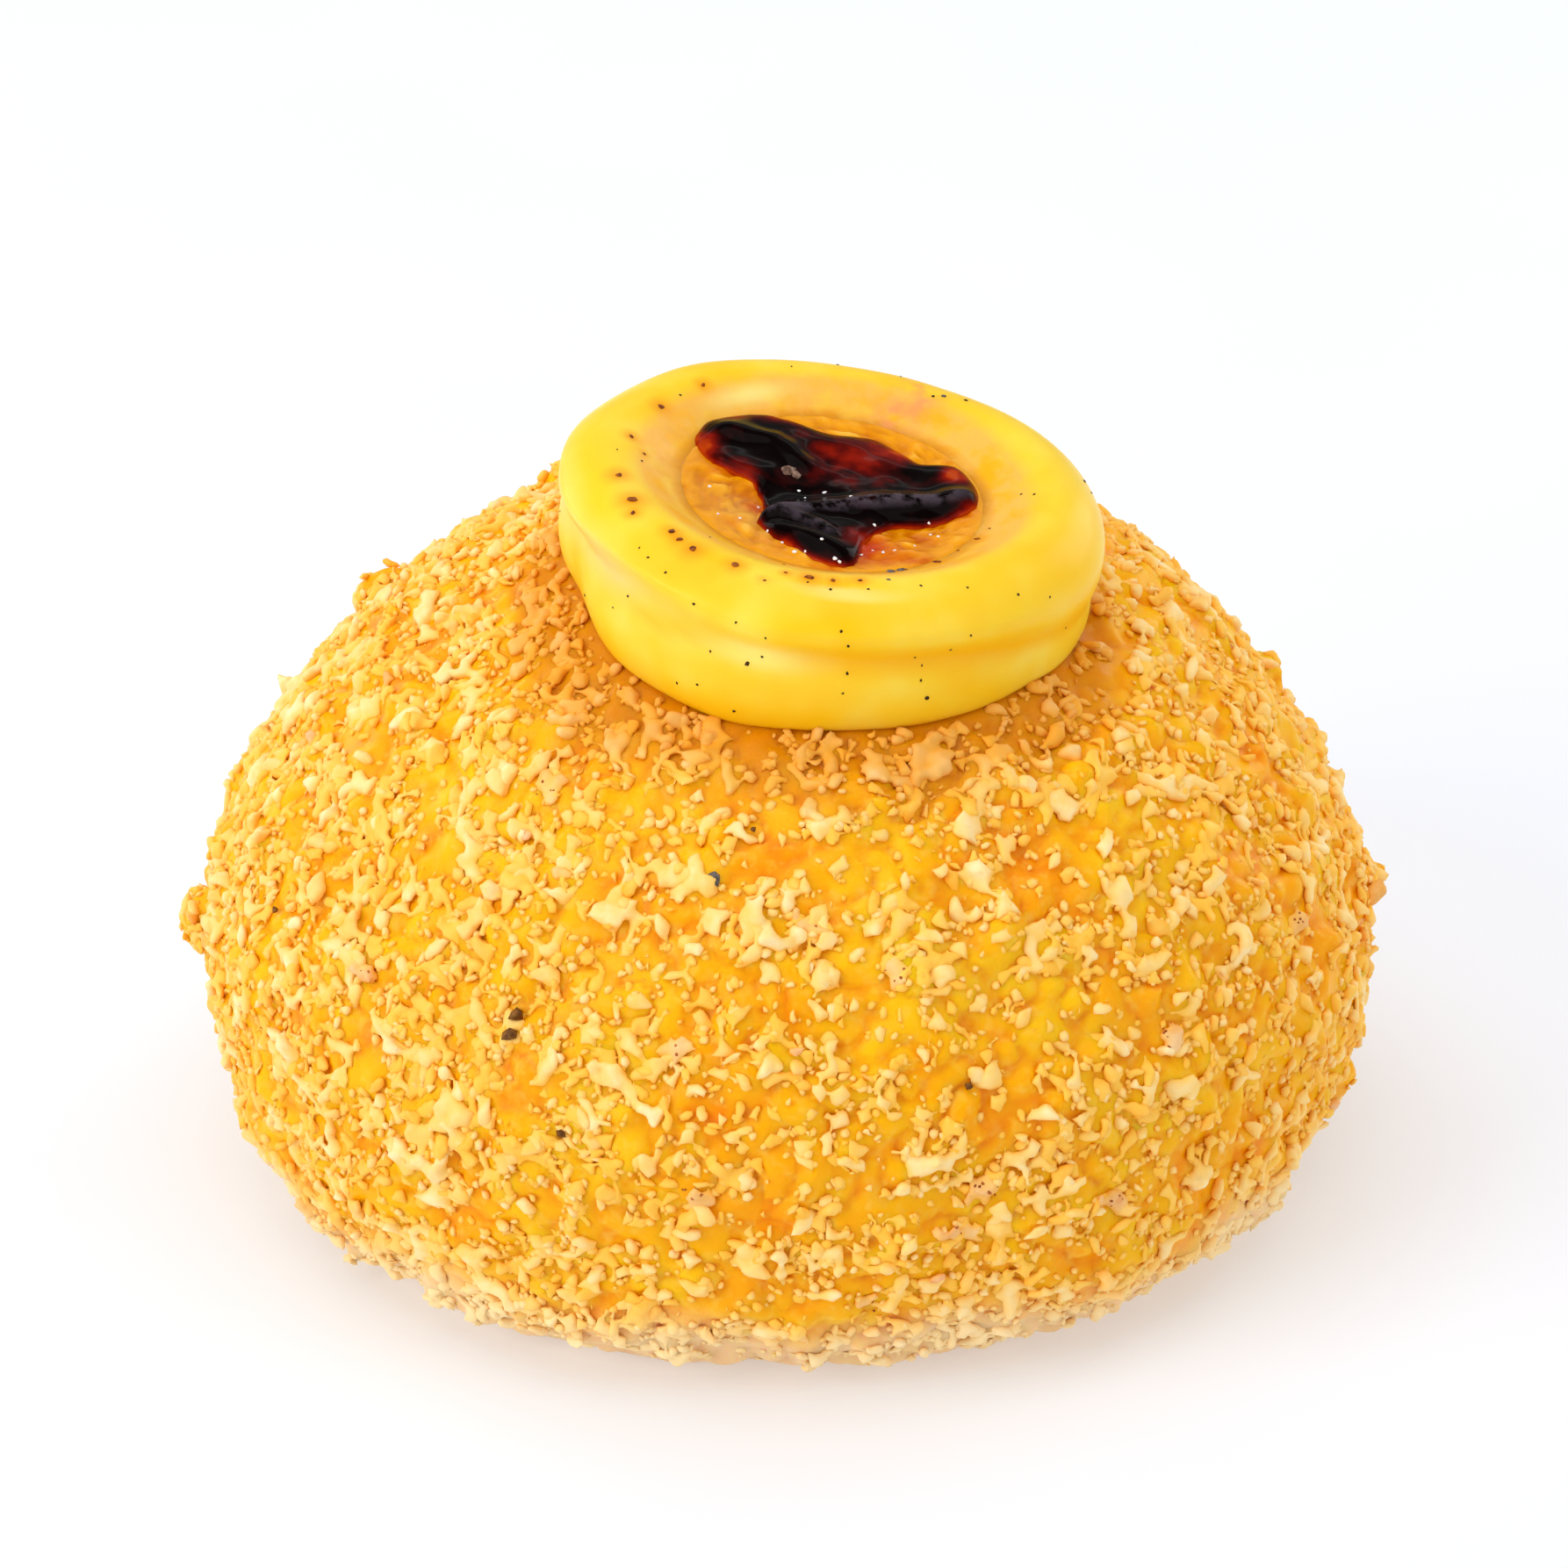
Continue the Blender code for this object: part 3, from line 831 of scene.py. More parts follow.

# %% [markdown]
# ## Custard finish
#
# Set custard is smooth and a little glossy, and light goes deep into it, which makes its
# shadows warm instead of grey. The stored numbers choose where each colour goes, and noise
# breaks their edges up, so that the scorched shelf looks mottled and not airbrushed. The
# darker yellow along the seam and some patches are painted shade, and other patches are
# painted highlights.

# %% Custard finish
# The patches under the lip and along the fold are painted shade. Those on the bulge, the front crest and
# the back are painted highlights.
PATCH_COLORS = (
    # name of the patch, colour, how strong
    ("vivid", "FFCE00", 0.7), ("lip_shade", "FFD284", 0.75), ("fold_shade", "FFC020", 0.8),
    ("bulge_highlight", "FFE97C", 0.9), ("warm", "FFC418", 0.75), ("crest_highlight", "FFE98C", 0.8),
    ("back_highlight", "FFE98C", 0.8), ("ochre", "E8B828", 0.6),
)


def custard_finish():
    """Yellow custard, with a scorched shelf, painted shade and highlights, a rim of amber, the stain and
    halos.
    """
    material, tree, shader = new_finish("piped_custard")
    color = ramp(tree, grain(tree, 6 * MM, 2), [(0.3, "FFC610"), (0.5, "FFD02C"), (0.7, "FFDA4C")])
    # painted shade in the crease between the coils
    color = lay(tree, color, "FFB80A", stored(tree, "seam"), 0.1, 1.0, 0.85)
    color = lay(tree, color, "FAB200", stored(tree, "foot"), 0.0, 1.0, 0.85)
    mottle = fit(tree, grain(tree, 3.0 * MM, 4, 0.55), 0.34, 0.5, 0.45, 1.0)
    shelf = times(tree, fit(tree, stored(tree, "shelf"), 0.0, 0.22), mottle)
    color = blend(tree, shelf, color, "FFBC4C")
    yellow = fit(tree, grain(tree, 2.4 * MM, 3, 0.6), 0.47, 0.66)
    yellow = times(tree, fit(tree, stored(tree, "shelf"), 0.05, 0.35), yellow)
    color = blend(tree, yellow, color, "FFB400")
    scorched = times(tree, stored(tree, "scorch"), fit(tree, stored(tree, "shelf"), 0.15, 0.7))
    scorched = times(tree, scorched, fit(tree, grain(tree, 1.9 * MM, 4, 0.6), 0.42, 0.66, 0.0, 0.7))
    color = blend(tree, scorched, color, "EFA42C")
    for name, code, strength in PATCH_COLORS:
        color = lay(tree, color, code, stored(tree, name), 0.05, 0.9, strength)
    rim = fit(tree, grain(tree, 2.4 * MM, 3), 0.3, 0.55, 0.35, 1.0)
    rim = times(tree, fit(tree, stored(tree, "shelf"), 0.8, 0.99), rim)
    color = blend(tree, rim, color, "E08C0C")
    stain = fit(tree, grain(tree, 1.6 * MM, 3), 0.36, 0.6, 0.0, 0.8)
    color = blend(tree, times(tree, stored(tree, "stain"), stain), color, "F29A58")
    color = lay(tree, color, "F79C00", stored(tree, "halo"), 0.1, 0.9, 0.85)
    surface(tree, shader, color, roughness=0.32, gloss=0.16)
    soften(shader, 0.5, (1.0, 0.75, 0.12), 2.0 * MM)
    bump(tree, shader, grain(tree, 1.6 * MM, 3), 0.14, 0.12 * MM)
    return material


ring.data.materials.append(custard_finish())
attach(ring, "root")
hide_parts("custard_ring")
print("custard finished")

# %% [markdown]
# ## Amber pool
#
# The middle of the ring is filled with custard cooked to amber. Its top is dished and lumpy,
# like thick jam. It is a plug that goes down to the dough: a spun section gives the plug, and
# its top is then moved to one height function, which the syrup later lies on as well.

# %% Amber pool
POOL_ABOVE_RIM = 0.10 * MM
POOL_DISH = 0.55 * MM
POOL_LUMP_HEIGHT = 0.45 * MM
POOL_LUMP_LENGTH = 4.5 * MM
CURD_HEIGHT = 0.32 * MM
CURD_LENGTH = 1.3 * MM
POOL_STEPS = 96
POOL_RINGS = 34
POOL_REACH = POOL_WALL_RADIUS + 0.9 * MM
POOL_SKIRT = 0.6 * MM
POOL_EDGE_DROP = 0.4 * MM
RED_PLACES = (
    # across, back, radius, strength: places and radii are shares of the pool's radius
    (0.24, -0.90, 0.22, 1.0), (0.46, -0.84, 0.20, 0.9), (0.64, -0.76, 0.14, 0.6), (0.22, -0.66, 0.22, 1.0),
    (0.92, -0.12, 0.16, 0.9), (0.84, 0.28, 0.12, 0.8), (-0.51, -0.25, 0.10, 0.8), (-0.92, 0.34, 0.16, 0.7),
    (-0.74, 0.20, 0.12, 0.7), (0.02, -0.98, 0.16, 0.8), (0.60, -0.46, 0.14, 0.5),
)
PALE_PLACES = ((-0.62, -0.40, 0.20, 1.0), (-0.40, -0.62, 0.16, 0.8), (-0.78, -0.16, 0.14, 0.6))


def pool_height(x, y):
    """Height of the pool's lumpy top over the upper coil's middle."""
    rim = COIL_HALF_HEIGHT - SHELF_DROP + POOL_ABOVE_RIM
    edge = math.hypot(x, y) / POOL_WALL_RADIUS
    lump = POOL_LUMP_HEIGHT * noise.noise(Vector((x, y, 0.0)) / POOL_LUMP_LENGTH)
    if edge < 1:
        return rim - POOL_DISH * (1 - edge * edge) + lump * (1 - 0.8 * edge ** 4)
    past = (edge - 1) * POOL_WALL_RADIUS / (POOL_REACH - POOL_WALL_RADIUS)
    return rim + 0.2 * lump - POOL_EDGE_DROP * past ** 2


def curd(x, y):
    """Small grainy lumps on top of the pool, from about -0.5 to 1.5."""
    place = Vector((x, y, 0.0)) / CURD_LENGTH
    return 1.6 * abs(noise.noise(place)) - 0.5 + 0.4 * noise.noise(place * 2.3)


def spot_share(spots, across, back):
    """The strength of the strongest of some round spots, which fade to 0 outside their radius."""
    return max(
        strength * math.exp(-0.9 * ((across - x) ** 2 + (back - y) ** 2) / radius ** 2)
        for x, y, radius, strength in spots
    )


def make_pool():
    """The plug of amber custard, with what its finish needs to know."""
    section = [(POOL_REACH * index / POOL_RINGS, COIL_HALF_HEIGHT) for index in range(POOL_RINGS + 1)]
    skirt = COIL_HALF_HEIGHT - SHELF_DROP - POOL_SKIRT
    section += [(POOL_REACH, skirt), (POOL_WALL_RADIUS, skirt)]
    section += [(POOL_WALL_RADIUS, -COIL_SPACING), (0.0, -COIL_SPACING)]
    bm = spin_section(section, POOL_STEPS, closed=False)
    shares = {"curd": [], "red": [], "cloud": []}
    for vertex in bm.verts:
        x, y = vertex.co.x, vertex.co.y
        across, back = x / POOL_WALL_RADIUS, y / POOL_WALL_RADIUS
        grainy = curd(x, y)
        shares["curd"].append(grainy)
        shares["red"].append(spot_share(RED_PLACES, across, back))
        shares["cloud"].append(spot_share(PALE_PLACES, across, back))
        if vertex.co.z > COIL_HALF_HEIGHT - 0.01 * MM:
            inside = 1 - ease(math.hypot(x, y), 9.0 * MM, POOL_REACH)
            vertex.co.z = pool_height(x, y) + grainy * CURD_HEIGHT * inside
    bm.transform(RING_FRAME)
    pool = link_piece("amber_pool", bm)
    for name, values in shares.items():
        store(pool.data, name, values)
    store_shares(pool, {"rim": lambda place: ring_local(place)[0] / POOL_WALL_RADIUS})
    return pool


pool = make_pool()
print("pool:", len(pool.data.polygons), "faces")

# %% [markdown]
# ## Amber finish
#
# Amber custard is orange where it is thick, yellower on the tops of its lumps, and redder
# in between and at the back. It is smooth, which makes it look wet.

# %% Amber finish
def amber_finish():
    """Orange to yellow by the height of the lumps, with pale, warm and red places."""
    material, tree, shader = new_finish("amber_custard")
    color = ramp(
        tree, fit(tree, stored(tree, "curd"), -0.5, 0.6),
        [(0.0, "C86C00"), (0.25, "E28C00"), (0.6, "F2A40C"), (1.0, "FFC64C")],
    )
    color = lay(tree, color, "E8B04C", stored(tree, "cloud"), 0.1, 0.9, 0.45)
    color = lay(tree, color, "EC8000", grain(tree, 3.0 * MM, 3), 0.48, 0.68, 0.45)
    color = lay(tree, color, "C42C00", stored(tree, "red"), 0.2, 0.9, 0.9)
    edge = fit(tree, grain(tree, 2 * MM, 3), 0.3, 0.55, 0.1, 1.0)
    edge = times(tree, fit(tree, stored(tree, "rim"), 0.80, 1.02), edge)
    color = blend(tree, edge, color, "F0A018")
    surface(tree, shader, color, roughness=0.16, gloss=0.1)
    soften(shader, 0.2, (1.0, 0.5, 0.1), 0.8 * MM)
    bump(tree, shader, grain(tree, 0.6 * MM, 3), 0.5, 0.15 * MM)
    return material


pool.data.materials.append(amber_finish())
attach(pool, "root")
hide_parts("caramel_filling")
print("pool finished")

# %% [markdown]
# ## Dark syrup
#
# The syrup was spilled. It ran to the edge of the pool in four lobes, and at the back left
# a little way up the shelf. A small table gives how far it runs on each side, and a flat
# disc is stretched to it. Where the thick syrup was still moving it stands up in ropes, and
# between them it is thin enough to glow red. It bulges over its edge, as a drop does.

# %% Syrup shape
SYRUP_OUTLINE = (
    # side in degrees, reach as a share of the pool's radius
    (0, 0.98), (29, 1.0), (41, 0.82), (70, 0.82), (94, 0.78), (112, 1.0), (122, 1.10), (150, 1.10),
    (164, 0.86), (172, 0.60), (185, 0.50), (213, 0.54), (222, 0.69), (251, 0.83), (268, 0.97), (279, 0.92),
    (289, 0.66), (310, 0.53), (329, 0.58), (350, 0.85),
)
SYRUP_ROPES = (
    # how strong the painted reflection on it is, then points across and back from the pool's middle, as
    # shares of its radius
    (1.0, (-0.42, -0.36), (0.28, -0.14), (0.92, 0.06)),
    (0.8, (-0.36, -0.36), (-0.02, -0.60)),
    (0.35, (-0.76, 0.62), (-0.42, 0.56), (-0.20, 0.28)),
    (0.1, (-0.36, -0.62), (0.08, -0.84)),
)
SYRUP_THIN = (
    # across, back, radius, how thin: where the syrup is thin and red
    (0.10, 0.42, 0.42, 0.55), (0.40, 0.56, 0.20, 0.85), (0.84, 0.36, 0.12, 0.9), (-0.92, 0.40, 0.18, 0.8),
    (0.20, -0.66, 0.16, 0.8), (0.97, -0.08, 0.12, 0.7), (-0.66, 0.96, 0.24, 0.5), (-0.36, 0.90, 0.2, 0.45),
    (-0.62, 0.12, 0.14, 0.5),
)
SYRUP_THICKNESS = 0.7 * MM
ROPE_HEIGHT = 0.5 * MM
ROPE_WIDTH = 0.10
SYRUP_SINK = 0.25 * MM
SYRUP_STEPS = 144
SYRUP_RINGS = 30
FRAY = 0.03
SYRUP_RIPPLE = 0.12 * MM
SYRUP_RIPPLE_LENGTH = 1.6 * MM


def seat_height(x, y):
    """What the syrup lies on: the pool, and outside it the sloping shelf."""
    share = (COIL_CENTER_RADIUS - math.hypot(x, y)) / (COIL_CENTER_RADIUS - POOL_WALL_RADIUS)
    shelf = COIL_HALF_HEIGHT - SHELF_DROP * (1 - math.cos(math.pi * min(share, 1.0))) / 2
    return max(pool_height(x, y), shelf) if share < 1 else pool_height(x, y)


def syrup_reach(turn):
    """How far the syrup runs to one side, with a slightly frayed edge."""
    fray = noise.noise(Vector((math.cos(turn), math.sin(turn), 0.3)) * 4.3)
    return (around(SYRUP_OUTLINE, math.degrees(turn)) + FRAY * fray) * POOL_WALL_RADIUS


def rope_share(across, back):
    """1 on the line of the nearest rope, fading to 0 beside it, and how strong the painted reflection on
    that rope is.
    """
    nearest, painted_reflection = 9.0, 0.0
    spot = Vector((across, back))
    for reflection_strength, *rope in SYRUP_ROPES:
        for start, end in zip(rope, rope[1:]):
            start, end = Vector(start), Vector(end)
            along = min(max((spot - start).dot(end - start) / (end - start).length_squared, 0.0), 1.0)
            gap = (spot - start.lerp(end, along)).length
            if gap < nearest:
                nearest, painted_reflection = gap, reflection_strength
    return math.exp(-((nearest / ROPE_WIDTH) ** 2)), painted_reflection


def make_syrup():
    """A closed disc, stretched to its outline and bulging over its edge."""
    top = [(index / SYRUP_RINGS, 1.0) for index in range(SYRUP_RINGS + 1)]
    under = [(index / SYRUP_RINGS, 0.0) for index in range(SYRUP_RINGS, -1, -1)]
    bm = spin_section(top + under, SYRUP_STEPS, closed=False)
    thickness = []
    rope_reflection = []
    for vertex in bm.verts:
        share = math.hypot(vertex.co.x, vertex.co.y)
        reach = syrup_reach(math.atan2(vertex.co.y, vertex.co.x))
        above = vertex.co.z > 0.5
        x, y = vertex.co.x * reach, vertex.co.y * reach
        across, back = x / POOL_WALL_RADIUS, y / POOL_WALL_RADIUS
        rope, reflection_strength = rope_share(across, back)
        thin = spot_share(SYRUP_THIN, across, back) * (1 - 0.7 * rope)
        dome = max(1 - share ** 6, 0.0) ** 0.5
        ripple = SYRUP_RIPPLE * noise.noise(Vector((x, y, 0.0)) / SYRUP_RIPPLE_LENGTH)
        lift = SYRUP_SINK + (SYRUP_THICKNESS + ROPE_HEIGHT * rope + ripple) * dome if above else 0.0
        thickness.append((1 - thin) * min(1.0, 0.2 + 1.1 * dome))
        rope_reflection.append(rope * dome * reflection_strength)
        vertex.co = (x, y, seat_height(x, y) - SYRUP_SINK + lift)
    bm.transform(RING_FRAME)
    blot = link_piece("dark_syrup_blot", bm)
    store(blot.data, "thick", thickness)
    store(blot.data, "rope", rope_reflection)
    return blot


syrup = make_syrup()
print("syrup:", len(syrup.data.polygons), "faces")

# %% [markdown]
# ## Syrup finish
#
# Real syrup is clear and dark. Tracing light through it would be slow and the effect small,
# so the colour is chosen from the stored thickness instead: red where thin, black where
# thick. It is smooth enough to mirror the panels of the studio. Its ropes carry mottled grey
# bands of painted reflection in their colour, and they are a little rougher there.

# %% Syrup finish
def syrup_finish():
    """Red to black by thickness, with painted grey reflection on the ropes."""
    material, tree, shader = new_finish("glossy_syrup")
    streak = fit(tree, grain(tree, 2.0 * MM, 2), 0.35, 0.65, -0.25, 0.1)
    depth = tree.nodes.new("ShaderNodeMath")
    depth.operation = "ADD"
    tree.links.new(stored(tree, "thick"), depth.inputs[0])
    tree.links.new(streak, depth.inputs[1])
    color = ramp(
        tree, depth.outputs[0],
        [(0.05, "B43C06"), (0.2, "8A1605"), (0.42, "560804"), (0.62, "260303"), (0.8, "060000")],
    )
    # painted reflection: mottled grey bands on the ropes
    reflection_breakup = fit(tree, grain(tree, 1.3 * MM, 3, 0.6), 0.42, 0.56)
    painted_reflection = times(tree, fit(tree, stored(tree, "rope"), 0.35, 1.0), reflection_breakup)
    color = blend(tree, times(tree, painted_reflection, fit(tree, stored(tree, "thick"), 0.3, 0.8)), color, "4C414A")
    tree.links.new(color, shader.inputs["Base Color"])
    tree.links.new(fit(tree, painted_reflection, 0.0, 1.0, 0.12, 0.34), shader.inputs["Roughness"])
    shader.inputs["Specular IOR Level"].default_value = 0.03
    return material


syrup.data.materials.append(syrup_finish())
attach(syrup, "root")
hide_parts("syrup")
print("syrup finished")

# %% [markdown]
# ## Crumbs: the prototypes
#
# Under a lens each crumb is a torn flake of dry bread: flat, with two to five stubby arms.
# A ball of nine meridians is flattened, and each meridian is drawn in or pulled out to an
# arm. Sixteen different ones, turned and stretched, are enough that no two neighbours look
# alike. Few faces matter here, because there are thousands of copies.

# %% Crumb prototypes
FLAKE_SIDES = 9
FLAKE_THICKNESS = 0.5


def torn_flake(seed, arms):
    """A flat crumb with arms, about 1 across, as arrays of vertices and triangles."""
    draw = random.Random(seed)
    bm = bmesh.new()
    bmesh.ops.create_uvsphere(bm, u_segments=FLAKE_SIDES, v_segments=4, radius=0.5)
    reach = [draw.uniform(0.45, 0.75) for _ in range(FLAKE_SIDES)]
    for side in draw.sample(range(FLAKE_SIDES), arms):
        reach[side] = draw.uniform(1.0, 1.35)
    for vertex in bm.verts:
        turn = math.atan2(vertex.co.y, vertex.co.x) % math.tau
        side = round(turn / math.tau * FLAKE_SIDES) % FLAKE_SIDES
        outer = math.hypot(vertex.co.x, vertex.co.y) > 0.05
        scale = reach[side] if outer else 1.0
        vertex.co.x *= scale
        vertex.co.y *= scale
        vertex.co.z = vertex.co.z * FLAKE_THICKNESS + draw.uniform(-0.06, 0.06)
    return arrays_of(bm)


def angular_grain(seed):
    """A small crumb of twenty faces, about 1 across."""
    draw = random.Random(seed)
    bm = bmesh.new()
    bmesh.ops.create_icosphere(bm, subdivisions=1, radius=0.5)
    for vertex in bm.verts:
        vertex.co *= draw.uniform(0.7, 1.25)
        vertex.co.z *= 0.75
    return arrays_of(bm)


def arrays_of(bm):
    """Vertices and triangles of a closed bmesh, for making many copies quickly."""
    bmesh.ops.recalc_face_normals(bm, faces=bm.faces)
    bmesh.ops.triangulate(bm, faces=bm.faces)
    bm.verts.index_update()
    verts = np.array([vertex.co[:] for vertex in bm.verts])
    faces = np.array([[vertex.index for vertex in face.verts] for face in bm.faces])
    bm.free()
    return verts, faces


def sugar_cube(seed):
    """A small block with rounded edges, about 1 across."""
    draw = random.Random(seed)
    bm = bmesh.new()
    bmesh.ops.create_cube(bm, size=0.8)
    for vertex in bm.verts:
        vertex.co += Vector([draw.uniform(-0.12, 0.12) for _ in range(3)])
    bmesh.ops.bevel(
        bm, geom=bm.verts[:] + bm.edges[:], offset=0.14, segments=1, profile=0.5,
        affect="EDGES", material=-1,
    )
    return arrays_of(bm)


flakes = [torn_flake(100 + index, 2 + index % 4) for index in range(16)]
grains = [angular_grain(200 + index) for index in range(8)]
blocks = [sugar_cube(300 + index) for index in range(6)]
for name, shapes in (("flakes", flakes), ("grains", grains), ("blocks", blocks)):
    print(len(shapes), name, "of", len(shapes[0][1]), "faces")

# %% [markdown]
# ## Crumbs: where they lie
#
# The coat covers the whole bun, with bare golden patches a few millimetres wide. It is
# thickest on the left, a little thinner beside the ring, and it thins out next to the table.
# Points are drawn on the crust by area: big triangles get more of them. Noise then decides
# which stay, and so the crumbs gather in small groups.

# %% Draw places on the crust
def vertex_values(mesh, what):
    """Three numbers for each vertex, such as its place, as an array."""
    values = np.empty(len(mesh.vertices) * 3, np.float32)
    mesh.vertices.foreach_get(what, values)
    return values.reshape(-1, 3).astype(float)


def surface_draws(piece, count, seed):
    """Even random points on a mesh, with the outward direction at each."""
    mesh = piece.data
    mesh.calc_loop_triangles()
    corners = np.empty(len(mesh.loop_triangles) * 3, np.int32)
    mesh.loop_triangles.foreach_get("vertices", corners)
    corners = corners.reshape(-1, 3)
    co, normal = (vertex_values(mesh, what) for what in ("co", "normal"))
    a, b, c = (co[corners[:, at]] for at in range(3))
    area = np.linalg.norm(np.cross(b - a, c - a), axis=1)
    draw = np.random.default_rng(seed)
    picked = draw.choice(len(area), size=count, p=area / area.sum())
    one = np.sqrt(draw.random(count))[:, None]
    two = draw.random(count)[:, None]
    weights = (1 - one, one * (1 - two), one * two)
    place = sum(weight * co[corners[picked, at]] for at, weight in enumerate(weights))
    outward = sum(weight * normal[corners[picked, at]] for at, weight in enumerate(weights))
    outward /= np.linalg.norm(outward, axis=1)[:, None]
    return place, outward


CRUMB_LOWEST = 1.4 * MM
PATCH_LENGTH = 2.8 * MM
DRIFT_LENGTH = 14 * MM
LEAST_SHARE = 0.1
SHARE_AT_FOOT = 0.25
THINNER_AT_RING = 0.2
THICKER_AT_LEFT = 0.22
SUGAR_LENGTH = 3.5 * MM
CUSTARD_REACH = 24 * MM


def coat_share(place):
    """How likely a crumb is to stay at a place, from 0 to 1."""
    if place.z < CRUMB_LOWEST:
        return 0.0
    gathered = 0.5 + 1.15 * noise.noise(place / PATCH_LENGTH)
    slow = 0.5 + 0.5 * noise.noise(place / DRIFT_LENGTH + Vector((4, 4, 4)))
    above_foot = ease(place.z, 1.6 * MM, 5 * MM)
    near_ring = 1 - ease(ring_distance(place), 21 * MM, 29 * MM) if place.z > WAIST_HEIGHT else 0.0
    side = THICKER_AT_LEFT * ease(-place.x, -5 * MM, 30 * MM)
    share = min(max(gathered + side + 0.35 * (slow - 0.5), LEAST_SHARE), 1.0)
    at_foot = SHARE_AT_FOOT + (1 - SHARE_AT_FOOT) * above_foot
    return share * at_foot * (1 - THINNER_AT_RING * near_ring)


def beside_ring_share(place):
    """How likely a block of sugar is to lie here: next to the ring's foot, in heaps."""
    if place.z < RING_LOWEST:
        return 0.0
    near = 1 - ease(ring_distance(place), 20.5 * MM, 26 * MM)
    return near * min(max(0.45 + 1.6 * noise.noise(place / SUGAR_LENGTH), 0.0), 1.0)


def outside_ring(place, reach):
    """True where a crumb of this reach stays out of the custard."""
    if place.z < RING_LOWEST or ring_distance(place) > CUSTARD_REACH:
        return True
    if ring_distance(place) < COIL_CENTER_RADIUS:
        return False
    near, normal, _, gap = ring_tree.find_nearest(place)
    return gap > reach and (place - near).dot(normal) > 0


def keep_places(count, seed, reach, share=coat_share):
    """Places and directions for one kind of crumb."""
    place, outward = surface_draws(crust, count, seed)
    draw = random.Random(seed)
    kept = [
        index for index in range(count)
        if draw.random() < share(Vector(place[index])) and outside_ring(Vector(place[index]), reach)
    ]
    return place[kept], outward[kept]


print("share kept of 500 test places:", len(keep_places(500, 1, 0.3 * MM)[0]) / 500)

# %% [markdown]
# ## Crumbs: many copies in one mesh
#
# Thousands of separate objects would be slow, and instances would be lost in the exported
# model. So every copy is worked out with arrays and joined to one mesh: turned at random,
# laid flat on the crust with some tilt, stretched, and sunk in a little. Each copy keeps a
# random tone and each of its vertices how far out it lies, for the finish.

# %% Join the copies
def turn_matrices(outward, spins, tilts, leans):
    """One rotation for each copy, which lays its Z along the tilted outward direction."""
    helper = np.where(np.abs(outward[:, 2:3]) < 0.9, [[0.0, 0.0, 1.0]], [[1.0, 0.0, 0.0]])
    side = np.cross(helper, outward)
    side /= np.linalg.norm(side, axis=1)[:, None]
    other = np.cross(outward, side)
    lean = side * np.cos(leans)[:, None] + other * np.sin(leans)[:, None]
    up = outward * np.cos(tilts)[:, None] + lean * np.sin(tilts)[:, None]
    side = side - up * np.sum(side * up, axis=1)[:, None]
    side /= np.linalg.norm(side, axis=1)[:, None]
    other = np.cross(up, side)
    x = side * np.cos(spins)[:, None] + other * np.sin(spins)[:, None]
    y = np.cross(up, x)
    return np.stack([x, y, up], axis=2)


STRETCH = (0.65, 1.35)
LIFT = (-0.12, 0.20)


def join_copies(name, shapes, place, outward, sizes, seed, tilt=0.35):
    """One mesh of many copies of a few prototypes."""
    draw = np.random.default_rng(seed)
    count = len(place)
    size = draw.triangular(*sizes, count)
    stretch = draw.uniform(*STRETCH, (count, 3)) * size[:, None]
    turns = turn_matrices(
        outward, draw.uniform(0, math.tau, count), np.abs(draw.normal(0, tilt, count)),
        draw.uniform(0, math.tau, count),
    )
    which = draw.integers(len(shapes), size=count)
    tones = draw.random(count)
    middle = place + outward * (size * draw.uniform(*LIFT, count))[:, None]
    all_verts, all_faces, tone = [], [], []
    start = 0
    for index in range(count):
        verts, faces = shapes[which[index]]
        all_verts.append((verts * stretch[index]) @ turns[index].T + middle[index])
        all_faces.append(faces + start)
        tone.append(np.full(len(verts), tones[index]))
        start += len(verts)
    piece = piece_from(name, np.concatenate(all_verts), np.concatenate(all_faces))
    store(piece.data, "tone", np.concatenate(tone))
    print(name, count, "copies,", len(piece.data.polygons), "faces")
    return piece


MELT_VOXEL = 0.25 * MM
MELT_SMOOTHING = 3
MOST_TRIANGLES = 178000


def melt_together(piece):
    """Neighbours that touch become one soft, webbed piece."""
    melt = piece.modifiers.new("melt", "REMESH")
    melt.mode = "VOXEL"
    melt.voxel_size = MELT_VOXEL
    soft = piece.modifiers.new("soft", "SMOOTH")
    soft.factor = 0.5
    soft.iterations = MELT_SMOOTHING
    apply_modifiers(piece)
    triangles = 2 * len(piece.data.polygons)
    if triangles > MOST_TRIANGLES:
        thin = piece.modifiers.new("thin_out", "DECIMATE")
        thin.ratio = MOST_TRIANGLES / triangles
        apply_modifiers(piece)
    piece.data.shade_smooth()
    print(piece.name, "melted to", triangles, "triangles, kept", len(piece.data.polygons))


# %% [markdown]
# ## Crumb finish
#
# Dry breadcrumbs go from straw to cream. Their tips and thin arms, which stand farthest from
# the crust, are palest, and the parts next to the crust are more golden. Near the custard ring
# a darker amber is painted shadow. One recipe serves every kind of crumb, with other colours
# for each.

# %% Crumb finish
def crust_gap(place):
    """How far a point lies from the crust, in metres."""
    return crust_tree.find_nearest(place)[3]


